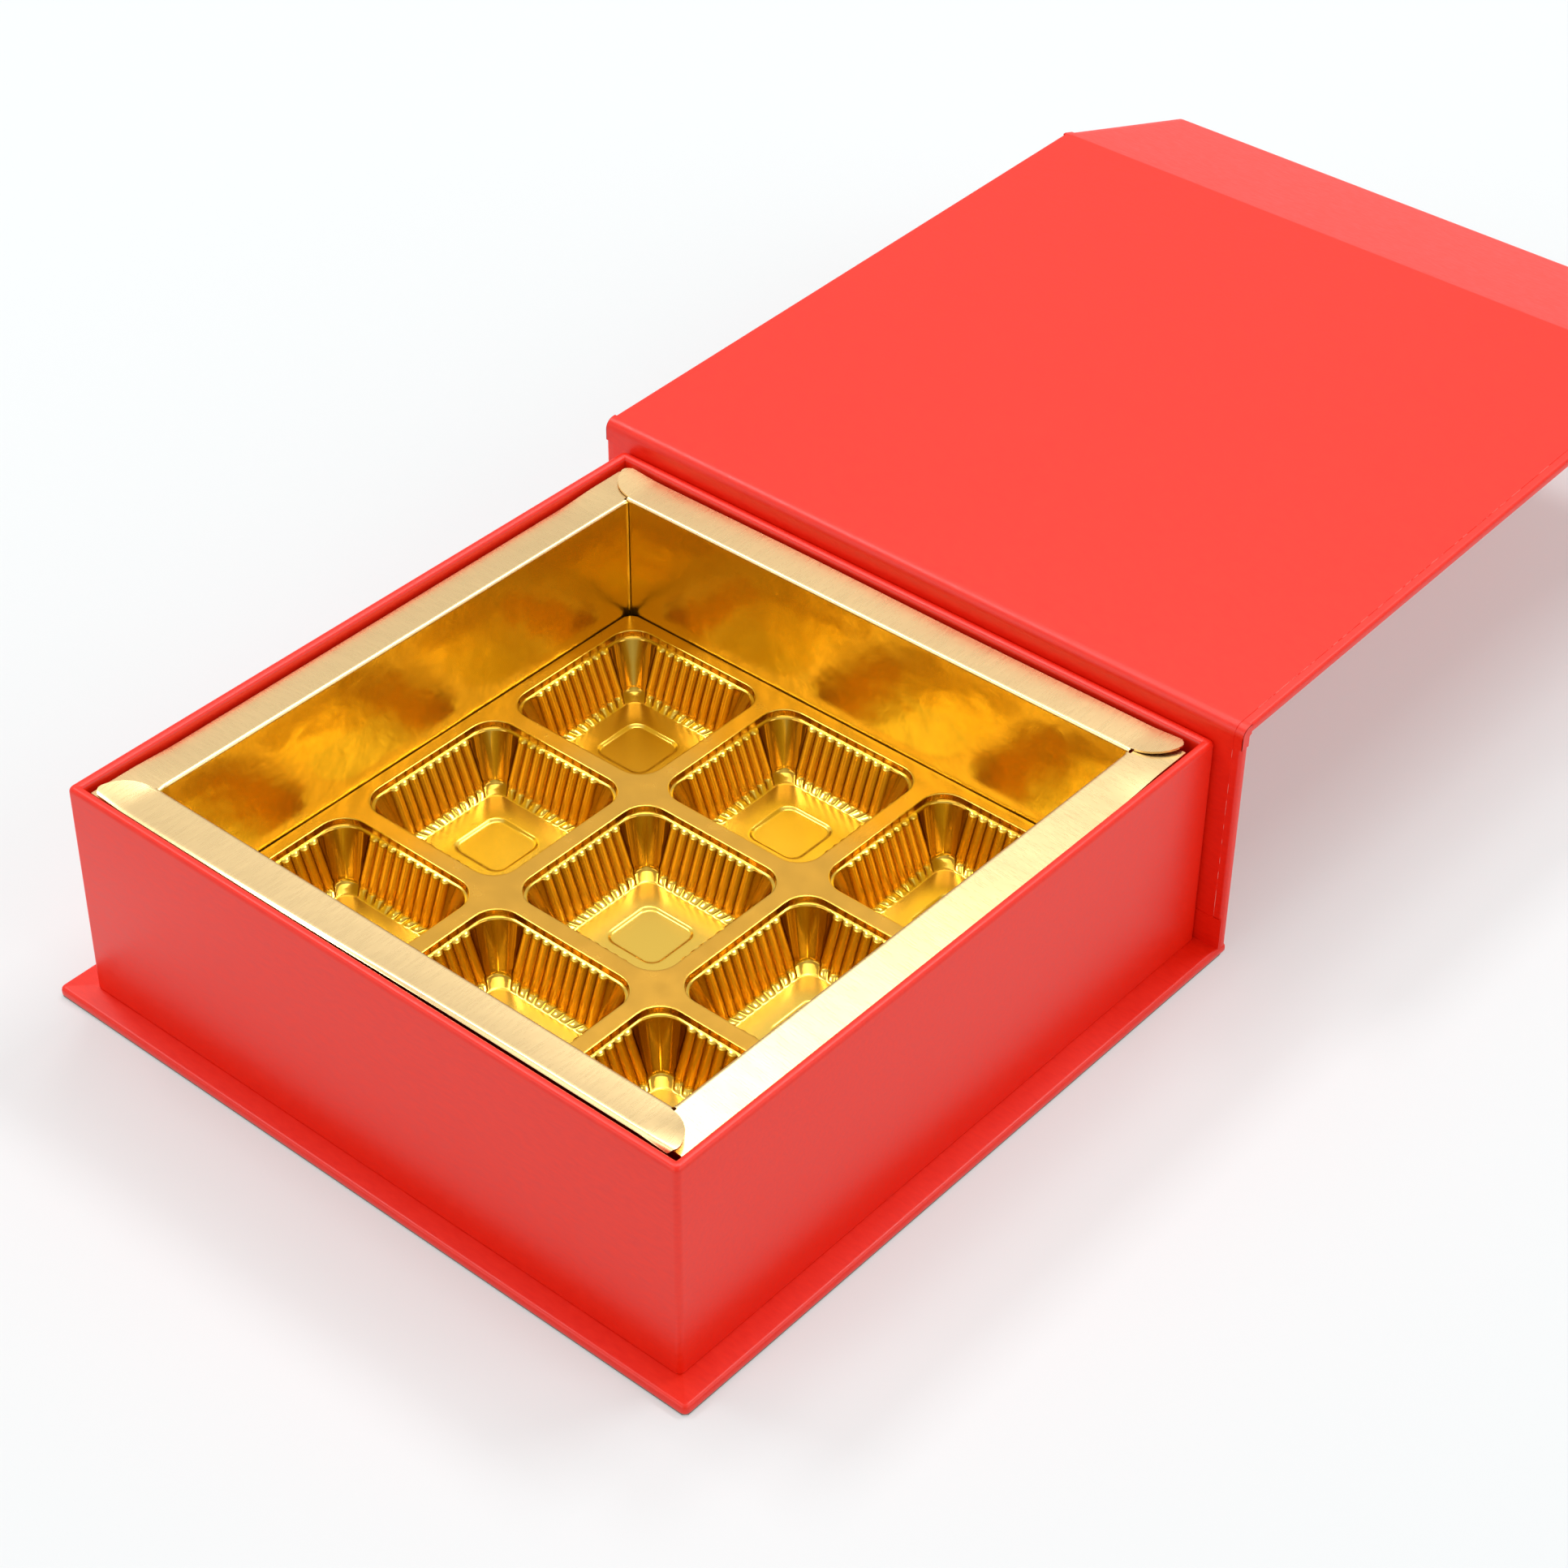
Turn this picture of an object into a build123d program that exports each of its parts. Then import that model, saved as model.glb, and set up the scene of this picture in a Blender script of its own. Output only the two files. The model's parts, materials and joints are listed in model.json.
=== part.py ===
from build123d import *
import math
import os

# Square book style chocolate box: a wrapped greyboard case whose lid and closing
# flap turn on paper folds, a tray glued into the case, a folded foil card collar
# and a formed insert with nine fluted cavities. The box stands open, lid to the rear.
# Origin: underside of the base panel, below the middle of the tray.
# X runs along the lid fold, Y towards the lid, Z up. All lengths are in millimetres.

# Sheet materials
BOARD = 2.0  # greyboard
PAPER = 0.12  # laminated art paper, for covers and liners
CARD = 0.4  # foil card of the collar
FILM = 0.4  # formed sheet of the insert
OVERRUN = 5.0  # how far every cutting block runs past what it cuts

# Tray
TRAY_SIZE = 150.0  # outside of the square tray
TRAY_HEIGHT = 48.8  # from the base panel to the rim
TRAY_CORNER = 1.2  # outside radius of the upright corners
RIM_ROUND = 0.8  # rounding of the rim, inside and out
BOARD_CHAMFER_SHARE = 0.65  # cut board edge, against the rounding of the cover over it
STAY_LEG = 12.0  # corner stay tape, along each wall
STAY_SHEET = 0.1  # thickness of the stay tape

# Case
SIDE_LEDGE = 5.5  # base panel left and right of the tray
FRONT_LEDGE = 4.8  # base panel in front of the tray
TURN_IN = 15.0  # cover paper folded over onto the inner face
LINER_MARGIN = 2.0  # inner liner short of a wrapped edge
LINER_LAP = 0.3  # band where the liner steps off the turned paper
PANEL_CORNER = 1.2  # outside radius of the free corners of a panel
PANEL_ROUND = 0.8  # rounding of the wrapped edges
SPINE_FOOT_ROUND = 2.0  # rounding where base and spine meet behind
FOOT_STRIP = 7.2  # hinge strip standing up the inner face of the spine

# Clearances of the closed box
SPINE_GAP = 0.3  # tray to spine
LID_GAP = 0.1  # rim to closed lid
FLAP_GAP = 0.54  # tray to closed flap
FLAP_FOOT_GAP = 0.46  # base panel to the edge of the closed flap
FOLD_GAP = 0.14  # between two boards at a fold bent square
HINGE_SETBACK = 0.34  # lid fold line behind the face of the spine
EDGE_SETBACK = 0.3  # fold line to the lid board, at both of its folds

# Folds and the open position
LID_REST = 1.48  # open lid above the level, degrees
FLAP_REST = -18.7  # open flap against the lid, degrees
LID_FOLD_BEND = 0.4  # cover paper at the lid fold, outer face
LID_LINER_BEND = 2.06  # liner at the lid fold, its underside
FLAP_FOLD_BEND = 1.5  # cover paper at the flap fold, outer face
FLAP_LINER_BEND = 2.0  # liner at the flap fold, its underside

# Magnets that hold the flap shut
MAGNET_RADIUS = 6.0
MAGNET_THICKNESS = 1.5
MAGNET_SPACING = 92.0  # between the two centres
MAGNET_INSET = 14.0  # centre to the free edge of the flap
MAGNET_FIT = 0.1  # radial clearance of the pockets

# Collar
COLLAR_GAP = 0.96  # flange to the inner face of the tray
FLANGE_WIDTH = 8.6
FLANGE_DROP = 1.2  # rim down to the front and rear flanges
CARD_BEND = 0.7  # visible radius of the fold between wall and flange
SEAM_LAP = 10.0  # glued lap of the collar seam
SEAM_PLACE = 38.5  # seam edge behind the middle of the box
EAR_REACH = 8.8  # side flanges past the corner, under the front and rear ones
EAR_GAP = 0.1  # ear to the wall that it passes
FLOOR_GAP = 0.1  # collar and insert above the tray floor

# Insert
INSERT_HEIGHT = 16.96  # foot of the skirt to the deck
INSERT_GAP = 0.35  # foot of the skirt to the collar wall
SKIRT_LEAN = 0.6  # the skirt drawn in over its height
SKIRT_CORNER = 2.5
DECK_EDGE = 0.35  # bevel round the deck

# Cavities of the insert
CAVITIES_ACROSS = 3
WEB = 3.95  # deck between two cavities
LIP_CORNER = 5.5
LIP_BEVEL = 0.2
BAND_DEPTH = 1.5  # plain band above the flutes
BAND_LEAN = 0.16
LEDGE = 0.4  # ledge between band and flutes
CAVITY_DEPTH = 12.35
CAVITY_LEAN = 3.9  # fluted wall drawn in from ledge to floor
FLUTED_CORNER = 5.2  # corner radius at the ledge
FLOOR_CORNER = 3.2  # corner radius at the floor
FLUTES = 9
FLUTE_DEPTH = 0.6
CREST_WIDTH = 0.9  # flat of one flute crest
RECESS_SIZE = 13.0  # shallow square recess in the cavity floor
RECESS_DEPTH = 0.6
RECESS_LEAN = 0.6
RECESS_CORNER = 2.6
CORNER_STEPS = 3  # facets of one rounded corner

# Sizes worked out from those above
PANEL = BOARD + PAPER + PAPER  # wrapped board
LINED = PANEL + PAPER  # wrapped board with its liner
TRAY_HALF = TRAY_SIZE / 2
TRAY_INNER = TRAY_HALF - PANEL
CASE_HALF = TRAY_HALF + SIDE_LEDGE
RIM = PANEL + TRAY_HEIGHT
BASE_FRONT = -TRAY_HALF - FRONT_LEDGE
SPINE_FACE = TRAY_HALF + SPINE_GAP + LINED
HINGE_Y = SPINE_FACE + HINGE_SETBACK
HINGE_Z = RIM + LID_GAP + LINED
SPINE_TOP = HINGE_Z - LINED - FOLD_GAP
LID_LENGTH = HINGE_Y + TRAY_HALF + FLAP_GAP + LINED
FLAP_LENGTH = HINGE_Z - PANEL - FLAP_FOOT_GAP
FLAP_START = LINED + FOLD_GAP
FLOOR_BOARD_LOW = PANEL + PAPER
FLOOR_BOARD_TOP = FLOOR_BOARD_LOW + BOARD
FLOOR_TOP = FLOOR_BOARD_TOP + PAPER
CONTENT_LOW = FLOOR_TOP + FLOOR_GAP
COLLAR_REACH = TRAY_INNER - COLLAR_GAP
COLLAR_INNER = COLLAR_REACH - FLANGE_WIDTH
FLANGE_TOP = RIM - FLANGE_DROP
DECK = CONTENT_LOW + INSERT_HEIGHT

# The lid and flap are drawn flat, outer face down, and then set at their open angles.
LID_PLACE = Pos(0, HINGE_Y, HINGE_Z) * Rot(LID_REST, 0, 0)
FLAP_PLACE = LID_PLACE * Pos(0, LID_LENGTH, 0) * Rot(FLAP_REST, 0, 0)
SPINE_PLACE = Pos(0, SPINE_FACE, 0) * Rot(90, 0, 0)


def block(left, right, front, rear, low, high):
    """Box between six planes."""
    middle = ((left + right) / 2, (front + rear) / 2, (low + high) / 2)
    return Pos(*middle) * Box(right - left, rear - front, high - low)


def centred(half_width, half_depth, low, high):
    """Box centred on the upright axis."""
    return block(-half_width, half_width, -half_depth, half_depth, low, high)


def save(name, *shapes):
    """Write one sub-part of one or more solids."""
    os.makedirs("parts", exist_ok=True)
    solids = [solid for shape in shapes for solid in shape.solids()]
    shape = solids[0] if len(solids) == 1 else Compound(children=solids)
    export_step(shape, f"parts/{name}.step")


# Wrapped panels of the case


def broken_edge(edges, rounding):
    """Chamfer of a board edge that lies below a rounding of its cover."""
    return chamfer(edges, rounding * BOARD_CHAMFER_SHARE)


def edged_panel(half_width, start, end, low, high, soften, free_start, free_end):
    """Flat panel, softened along its sides and its free ends, square at its folds."""
    body = block(-half_width, half_width, start, end, low, high)
    uprights = body.edges().filter_by(Axis.Z).sort_by(Axis.Y)
    corners = uprights[:2] * free_start + uprights[2:] * free_end
    if corners:
        body = soften(corners, PANEL_CORNER)
    faces = body.faces().sort_by(Axis.Z)
    rims = faces[0].edges() + faces[-1].edges()
    ends = body.faces().filter_by(Axis.Y).sort_by(Axis.Y)
    if not free_start:
        rims = rims - ends[0].edges()
    if not free_end:
        rims = rims - ends[-1].edges()
    return soften(rims, PANEL_ROUND)


def turn_in_window(half_width, start, end, free_start, free_end, low, high):
    """Space between the turned-in strips of a cover, open towards the folds."""
    front = start + TURN_IN if free_start else start
    rear = end - TURN_IN if free_end else end
    side = half_width - TURN_IN
    return block(-side, side, front, rear, low, high)


def wrapped_panel(half_width, start, end, free_start=False, free_end=False):
    """Board and cover paper of one panel whose outer face lies on the ground plane."""
    board = edged_panel(
        half_width - PAPER,
        start + PAPER * free_start,
        end - PAPER * free_end,
        PAPER,
        PAPER + BOARD,
        broken_edge,
        free_start,
        free_end,
    )
    cover = edged_panel(half_width, start, end, 0, PANEL, fillet, free_start, free_end)
    window = turn_in_window(
        half_width, start, end, free_start, free_end, PAPER + BOARD, PANEL + OVERRUN
    )
    return board, cover - board - window


def liner(half_width, start, end, free_end=False):
    """Inner lining of a panel, stepping down from the turned paper onto the board."""
    side = half_width - LINER_MARGIN
    rear = end - LINER_MARGIN if free_end else end
    ring = block(-side, side, start, rear, PANEL, PANEL + PAPER)
    opening = block(
        -half_width + TURN_IN + LINER_LAP,
        half_width - TURN_IN - LINER_LAP,
        start - OVERRUN,
        rear - TURN_IN - LINER_LAP if free_end else end + OVERRUN,
        PANEL,
        PANEL + PAPER,
    )
    plate = turn_in_window(half_width, start, end, False, free_end, PAPER + BOARD, PANEL)
    return ring - opening + plate


def base_panel():
    """Board and cover of the base, with the large outer rounding below the spine."""
    solids = []
    for inset, soften in ((PAPER, broken_edge), (0, fillet)):
        body = block(
            -CASE_HALF + inset,
            CASE_HALF - inset,
            BASE_FRONT + inset,
            SPINE_FACE - inset,
            inset,
            PANEL - inset,
        )
        uprights = body.edges().filter_by(Axis.Z).sort_by(Axis.Y)
        body = soften(uprights[:2], PANEL_CORNER)
        across = body.edges().filter_by(Axis.X)
        foot = across.sort_by(Axis.Z)[:2].sort_by(Axis.Y)[-1]
        body = soften(foot, SPINE_FOOT_ROUND)
        top = body.faces().sort_by(Axis.Z)[-1]
        rear = body.faces().filter_by(Axis.Y).sort_by(Axis.Y)[-1]
        body = soften(top.edges() - rear.edges(), PANEL_ROUND)
        solids.append(body)
    board, cover = solids
    window = turn_in_window(
        CASE_HALF, BASE_FRONT, SPINE_FACE, True, True, PAPER + BOARD, PANEL + OVERRUN
    )
    return board, cover - board - window


# Paper that bridges a fold


def heading(degrees):
    """Unit vector in the upright plane across the box."""
    return Vector(math.cos(math.radians(degrees)), math.sin(math.radians(degrees)))


def crossing(first, along_first, last, along_last):
    """Point where two lines of the upright plane meet."""
    gap = last - first
    turn = along_first.X * along_last.Y - along_first.Y * along_last.X
    reach = (gap.X * along_last.Y - gap.Y * along_last.X) / turn
    return first + along_first * reach


def bent_sheet(start, start_angle, end, end_angle, low, high, bend, left, right):
    """Sheet over one fold, between two levels above the outer faces of two panels."""
    into = heading(start_angle)
    out = heading(end_angle)
    sides = []
    for level in (low, high):
        first = start + heading(start_angle + 90) * level
        last = end + heading(end_angle + 90) * level
        corner = crossing(first, into, last, out)
        sides.append(FilletPolyline(first, corner, last, radius=bend + level - low))
    under, over = sides
    outline = under + Line(under @ 1, over @ 1) + over + Line(over @ 0, under @ 0)
    section = Plane.YZ * make_face(outline)
    sheet = extrude(section, (right - left) / 2, both=True)
    return Pos((left + right) / 2, 0, 0) * sheet


def fold_papers(start, start_angle, end, end_angle, cover_bend, liner_bend):
    """Cover paper and lining of one fold, at the two faces of its panels."""
    fold = (start, start_angle, end, end_angle)
    cover = bent_sheet(*fold, 0, PAPER, cover_bend, -CASE_HALF, CASE_HALF)
    turned = PANEL - PAPER
    lining = bent_sheet(*fold, turned, PANEL, liner_bend, -CASE_HALF, CASE_HALF)
    inside = CASE_HALF - TURN_IN - LINER_LAP
    outside = CASE_HALF - LINER_MARGIN
    for left, right in ((-outside, -inside), (inside, outside)):
        lining += bent_sheet(*fold, PANEL, LINED, liner_bend + PAPER, left, right)
    return cover, lining


# Tray


def tray_ring(half, inner, low, high, soften):
    """Square wall with softened upright corners and rim."""
    ring = centred(half, half, low, high)
    ring = soften(ring.edges().filter_by(Axis.Z), TRAY_CORNER)
    ring -= centred(inner, inner, low - OVERRUN, high + OVERRUN)
    return soften(ring.faces().sort_by(Axis.Z)[-1].edges(), RIM_ROUND)


def magnet_pair(y, z, direction, radius, thickness):
    """Two discs, or the pockets for them, standing on a wall face."""
    places = [Pos(side * MAGNET_SPACING / 2, y, z) for side in (-1, 1)]
    disc = Rot(90 * direction, 0, 0) * Cylinder(
        radius, thickness, align=(Align.CENTER, Align.CENTER, Align.MIN)
    )
    return [place * disc for place in places]


def tray():
    """Boards, corner stays, magnets, cover and floor paper of the tray."""
    out = TRAY_HALF - PAPER
    within = out - BOARD
    boards = tray_ring(out, within, FLOOR_BOARD_LOW, RIM - PAPER, broken_edge)
    floor = centred(within, within, FLOOR_BOARD_LOW, FLOOR_BOARD_TOP)

    cover = tray_ring(TRAY_HALF, TRAY_INNER, PANEL, RIM, fillet)
    cover += centred(within, within, PANEL, PANEL + PAPER)
    bottom = TRAY_HALF - TURN_IN
    cover = cover - boards - floor - centred(bottom, bottom, PANEL, PANEL + PAPER)

    bare = out - STAY_SHEET
    stay_top = RIM - PAPER - RIM_ROUND
    cores = []
    for half in (out, bare):
        core = centred(half, half, FLOOR_BOARD_LOW, stay_top)
        cores.append(broken_edge(core.edges().filter_by(Axis.Z), TRAY_CORNER))
    stay_ring = cores[0] - cores[1]
    between = out - STAY_LEG
    long_cut = out + OVERRUN
    stays = stay_ring - centred(between, long_cut, FLOOR_BOARD_LOW, stay_top)
    stays -= centred(long_cut, between, FLOOR_BOARD_LOW, stay_top)

    magnet_z = PANEL + FLAP_FOOT_GAP + MAGNET_INSET
    magnets = magnet_pair(-out, magnet_z, -1, MAGNET_RADIUS, MAGNET_THICKNESS)
    pockets = magnet_pair(-out, magnet_z, -1, MAGNET_RADIUS + MAGNET_FIT, MAGNET_THICKNESS)
    boards = boards - stays - pockets

    wall_high = RIM + OVERRUN
    save("tray_front_board", boards & block(-out, out, -out, -within, 0, wall_high))
    save("tray_back_board", boards & block(-out, out, within, out, 0, wall_high))
    side_span = (-within, within, 0, wall_high)
    save("tray_left_board", boards & block(-out, -within, *side_span))
    save("tray_right_board", boards & block(within, out, *side_span))
    save("tray_floor_board", floor)
    save("tray_corner_stays", stays)
    save("tray_wrap", cover)
    save("tray_floor_paper", centred(TRAY_INNER, TRAY_INNER, FLOOR_BOARD_TOP, FLOOR_TOP))
    save("wall_magnets", *magnets)


# Collar


def angle_panel(inner, top, start, end):
    """Card folded along its top edge: an upright wall and a flange outwards."""
    back = inner + CARD
    under = top - CARD
    face = FilletPolyline(
        (inner, CONTENT_LOW), (inner, top), (COLLAR_REACH, top), radius=CARD_BEND
    )
    reverse = FilletPolyline(
        (COLLAR_REACH, under), (back, under), (back, CONTENT_LOW), radius=CARD_BEND - CARD
    )
    outline = face + Line(face @ 1, reverse @ 0) + reverse + Line(reverse @ 1, face @ 0)
    section = Plane.XZ * make_face(outline)
    panel = extrude(section, (end - start) / 2, both=True)
    return Pos(0, (start + end) / 2, 0) * panel


def end_panel(start, end):
    """Front or rear panel, whose flange ends in quarter rounds over the corners."""
    panel = angle_panel(COLLAR_INNER, FLANGE_TOP, start, end)
    width = FLANGE_WIDTH - CARD_BEND
    tip = Pos(COLLAR_REACH, 0, FLANGE_TOP - CARD / 2) * Cylinder(width, CARD)
    tip &= block(0, COLLAR_REACH, 0, COLLAR_REACH, 0, RIM)
    panel += Pos(0, COLLAR_INNER, 0) * tip
    return panel + Pos(0, -COLLAR_INNER, 0) * mirror(tip, Plane.XZ)


def ear(inner, top, side):
    """End of a side flange, reaching under the rounded end of its neighbour."""
    first, last = sorted((side * COLLAR_INNER, side * (COLLAR_INNER + EAR_REACH)))
    return block(inner + CARD + EAR_GAP, COLLAR_REACH, first, last, top - CARD, top)


def collar():
    """Five card panels that make the collar, with a lapped seam in the left side."""
    side_top = FLANGE_TOP - CARD
    corner = COLLAR_INNER + CARD
    front = end_panel(-corner, corner)
    back = end_panel(-corner, corner + CARD)
    right = angle_panel(COLLAR_INNER, side_top, -COLLAR_INNER, COLLAR_INNER)
    right += ear(COLLAR_INNER, side_top, -1) + ear(COLLAR_INNER, side_top, 1)
    left = angle_panel(COLLAR_INNER, side_top, -SEAM_PLACE, COLLAR_INNER)
    left += ear(COLLAR_INNER, side_top, 1)
    lap_inner = COLLAR_INNER + CARD
    lap_top = side_top - CARD
    seam = angle_panel(lap_inner, lap_top, -COLLAR_INNER, SEAM_LAP - SEAM_PLACE)
    seam += ear(lap_inner, lap_top, -1)
    save("collar_right", right)
    save("collar_back", Rot(0, 0, 90) * back)
    save("collar_left", Rot(0, 0, 180) * left)
    save("collar_seam_panel", Rot(0, 0, 180) * seam)
    save("collar_front", Rot(0, 0, 270) * front)


# Insert


def rounded_square(half, corner, z):
    """Points of a square outline with faceted corners, anticlockwise from +X."""
    points = []
    straight = half - corner
    for side, (x, y) in enumerate(((1, 1), (-1, 1), (-1, -1), (1, -1))):
        for step in range(CORNER_STEPS + 1):
            turn = math.radians(90 * (side + step / CORNER_STEPS))
            across = x * straight + corner * math.cos(turn)
            along = y * straight + corner * math.sin(turn)
            points.append((across, along, z))
    return points


def fluted_square(half, corner, z, pitch):
    """Square outline with flutes standing inwards on each side."""
    run = [(-pitch * FLUTES / 2, half)]
    for flute in range(FLUTES):
        middle = pitch * (flute - (FLUTES - 1) / 2)
        run.append((middle - CREST_WIDTH / 2, half - FLUTE_DEPTH))
        run.append((middle + CREST_WIDTH / 2, half - FLUTE_DEPTH))
        run.append((middle + pitch / 2, half))
    arc = rounded_square(half, corner, z)
    points = []
    for side in range(4):
        cosine = round(math.cos(math.radians(90 * side)))
        sine = round(math.sin(math.radians(90 * side)))
        for along, out in run:
            points.append((out * cosine - along * sine, out * sine + along * cosine, z))
        first = side * (CORNER_STEPS + 1)
        points += arc[first : first + CORNER_STEPS + 1]
    return points


def ring_of_quads(lower, upper):
    """Flat faces between two outlines with the same number of points."""
    faces = []
    for here in range(len(lower)):
        after = (here + 1) % len(lower)
        corners = (lower[here], lower[after], upper[after], upper[here])
        faces.append(Face(Wire.make_polygon(corners)))
    return faces


def flat_face(outline, *holes):
    """Level face with holes."""
    return Face(Wire.make_polygon(outline), [Wire.make_polygon(hole) for hole in holes])


def tub_skin(levels):
    """Faces below the first outline: lip, band, ledge, flutes, floor and recess."""
    lip, band, ledge, flute_top, flute_foot, recess_top, recess_foot = levels
    faces = ring_of_quads(lip, band) + ring_of_quads(band, ledge)
    faces += [flat_face(ledge, flute_top)] + ring_of_quads(flute_top, flute_foot)
    faces += [flat_face(flute_foot, recess_top)] + ring_of_quads(recess_top, recess_foot)
    return faces + [flat_face(recess_foot)]


def tub_levels(out, drop, lip_half, pitch=0):
    """Outlines of one cavity, from the lip down; out sets the skin outwards."""

    def wall_outline(half, corner, z):
        if pitch:
            return fluted_square(half, corner, z, pitch)
        return rounded_square(half, corner, z)

    band_half = lip_half - LIP_BEVEL
    ledge_half = band_half - BAND_LEAN
    flute_half = ledge_half - LEDGE
    floor_half = flute_half - CAVITY_LEAN
    recess_half = RECESS_SIZE / 2
    lip_z = DECK - drop
    ledge_z = lip_z - BAND_DEPTH
    floor_z = lip_z - CAVITY_DEPTH
    return [
        rounded_square(lip_half + out, LIP_CORNER + out, lip_z),
        rounded_square(band_half + out, LIP_CORNER + out, lip_z - FILM),
        rounded_square(ledge_half + out, LIP_CORNER + out, ledge_z),
        wall_outline(flute_half + out, FLUTED_CORNER + out, ledge_z),
        wall_outline(floor_half + out, FLOOR_CORNER + out, floor_z),
        rounded_square(recess_half + out, RECESS_CORNER + out, floor_z),
        rounded_square(
            recess_half - RECESS_LEAN + out, RECESS_CORNER + out, floor_z - RECESS_DEPTH
        ),
    ]


def insert():
    """Sheet with a deck, nine cavities ribbed with flutes and a drafted skirt."""
    foot_half = COLLAR_INNER - INSERT_GAP
    edge_half = foot_half - SKIRT_LEAN
    deck_half = edge_half - DECK_EDGE
    cell = 2 * deck_half / CAVITIES_ACROSS
    lip_half = (cell - WEB) / 2
    floor_half = lip_half - LIP_BEVEL - BAND_LEAN - LEDGE - CAVITY_LEAN
    pitch = 2 * (floor_half - FLOOR_CORNER) / FLUTES

    under = SKIRT_CORNER - FILM
    outside = [
        rounded_square(deck_half, SKIRT_CORNER, DECK),
        rounded_square(edge_half, SKIRT_CORNER, DECK - FILM),
        rounded_square(foot_half, SKIRT_CORNER, CONTENT_LOW),
    ]
    inside = [
        rounded_square(edge_half - FILM, under, DECK - FILM),
        rounded_square(foot_half - FILM, under, CONTENT_LOW),
    ]
    upper = tub_levels(0, 0, lip_half, pitch)
    lower = tub_levels(FILM, FILM, lip_half)

    steps = [cell * (place - (CAVITIES_ACROSS - 1) / 2) for place in range(CAVITIES_ACROSS)]
    cells = [(x, y) for x in steps for y in steps]

    def moved(outline, cell_x, cell_y):
        return [(x + cell_x, y + cell_y, z) for x, y, z in outline]

    faces = ring_of_quads(outside[0], outside[1]) + ring_of_quads(outside[1], outside[2])
    faces += ring_of_quads(inside[0], inside[1]) + [flat_face(outside[2], inside[1])]
    faces.append(flat_face(outside[0], *[moved(upper[0], *place) for place in cells]))
    faces.append(flat_face(inside[0], *[moved(lower[0], *place) for place in cells]))
    for place in cells:
        for levels in (upper, lower):
            faces += tub_skin([moved(level, *place) for level in levels])
    return Solid(Shell(faces))


# Base and spine
base_board, base_wrap = base_panel()
save("base_board", base_board)
save("base_wrap", base_wrap)

spine_board, spine_wrap = wrapped_panel(CASE_HALF, PANEL, SPINE_TOP)
save("spine_board", SPINE_PLACE * spine_board)
save("spine_wrap", SPINE_PLACE * spine_wrap)
save("spine_liner", SPINE_PLACE * liner(CASE_HALF, PANEL, SPINE_TOP))
strip = block(-CASE_HALF, CASE_HALF, PANEL, PANEL + FOOT_STRIP, LINED, LINED + PAPER)
save("spine_foot_strip", SPINE_PLACE * strip)

tray()

# Lid, from its fold line to the fold line of the flap
lid_end = LID_LENGTH - EDGE_SETBACK
lid_board, lid_wrap = wrapped_panel(CASE_HALF, EDGE_SETBACK, lid_end)
save("lid_board", LID_PLACE * lid_board)
save("lid_wrap", LID_PLACE * lid_wrap)
save("lid_liner", LID_PLACE * liner(CASE_HALF, EDGE_SETBACK, lid_end))

# Flap, with magnets let into the inner face of its board
flap_board, flap_wrap = wrapped_panel(CASE_HALF, FLAP_START, FLAP_LENGTH, free_end=True)
magnet_top = PAPER + BOARD
magnet_low = magnet_top - MAGNET_THICKNESS
flap_magnets = []
for side in (-1, 1):
    place = Pos(side * MAGNET_SPACING / 2, FLAP_LENGTH - MAGNET_INSET, magnet_low)
    upward = (Align.CENTER, Align.CENTER, Align.MIN)
    flap_magnets.append(place * Cylinder(MAGNET_RADIUS, MAGNET_THICKNESS, align=upward))
    flap_board -= place * Cylinder(MAGNET_RADIUS + MAGNET_FIT, BOARD, align=upward)
save("flap_board", FLAP_PLACE * flap_board)
save("flap_wrap", FLAP_PLACE * flap_wrap)
flap_liner = liner(CASE_HALF, FLAP_START, FLAP_LENGTH, free_end=True)
save("flap_liner", FLAP_PLACE * flap_liner)
save("flap_magnets", *[FLAP_PLACE * magnet for magnet in flap_magnets])

# Papers over the two folds, bent as they lie with the box open
spine_end = Vector(SPINE_FACE, SPINE_TOP)
lid_start = Vector(HINGE_Y, HINGE_Z) + heading(LID_REST) * EDGE_SETBACK
lid_fold = fold_papers(spine_end, 90, lid_start, LID_REST, LID_FOLD_BEND, LID_LINER_BEND)
save("lid_fold_outer", lid_fold[0])
save("lid_fold_inner", lid_fold[1])

lid_finish = Vector(lid_end, 0)
flap_begin = Vector(LID_LENGTH, 0) + heading(FLAP_REST) * FLAP_START
flap_fold = fold_papers(
    lid_finish, 0, flap_begin, FLAP_REST, FLAP_FOLD_BEND, FLAP_LINER_BEND
)
save("flap_fold_outer", LID_PLACE * flap_fold[0])
save("flap_fold_inner", LID_PLACE * flap_fold[1])

collar()
save("cavity_insert", insert())
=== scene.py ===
"""Looks of the chocolate box: covers, folds, foil collar and formed insert."""

import json
import math

import bmesh
import bpy
from bpy.props import FloatProperty, FloatVectorProperty, IntProperty, PointerProperty
from mathutils import Matrix, Vector


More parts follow.
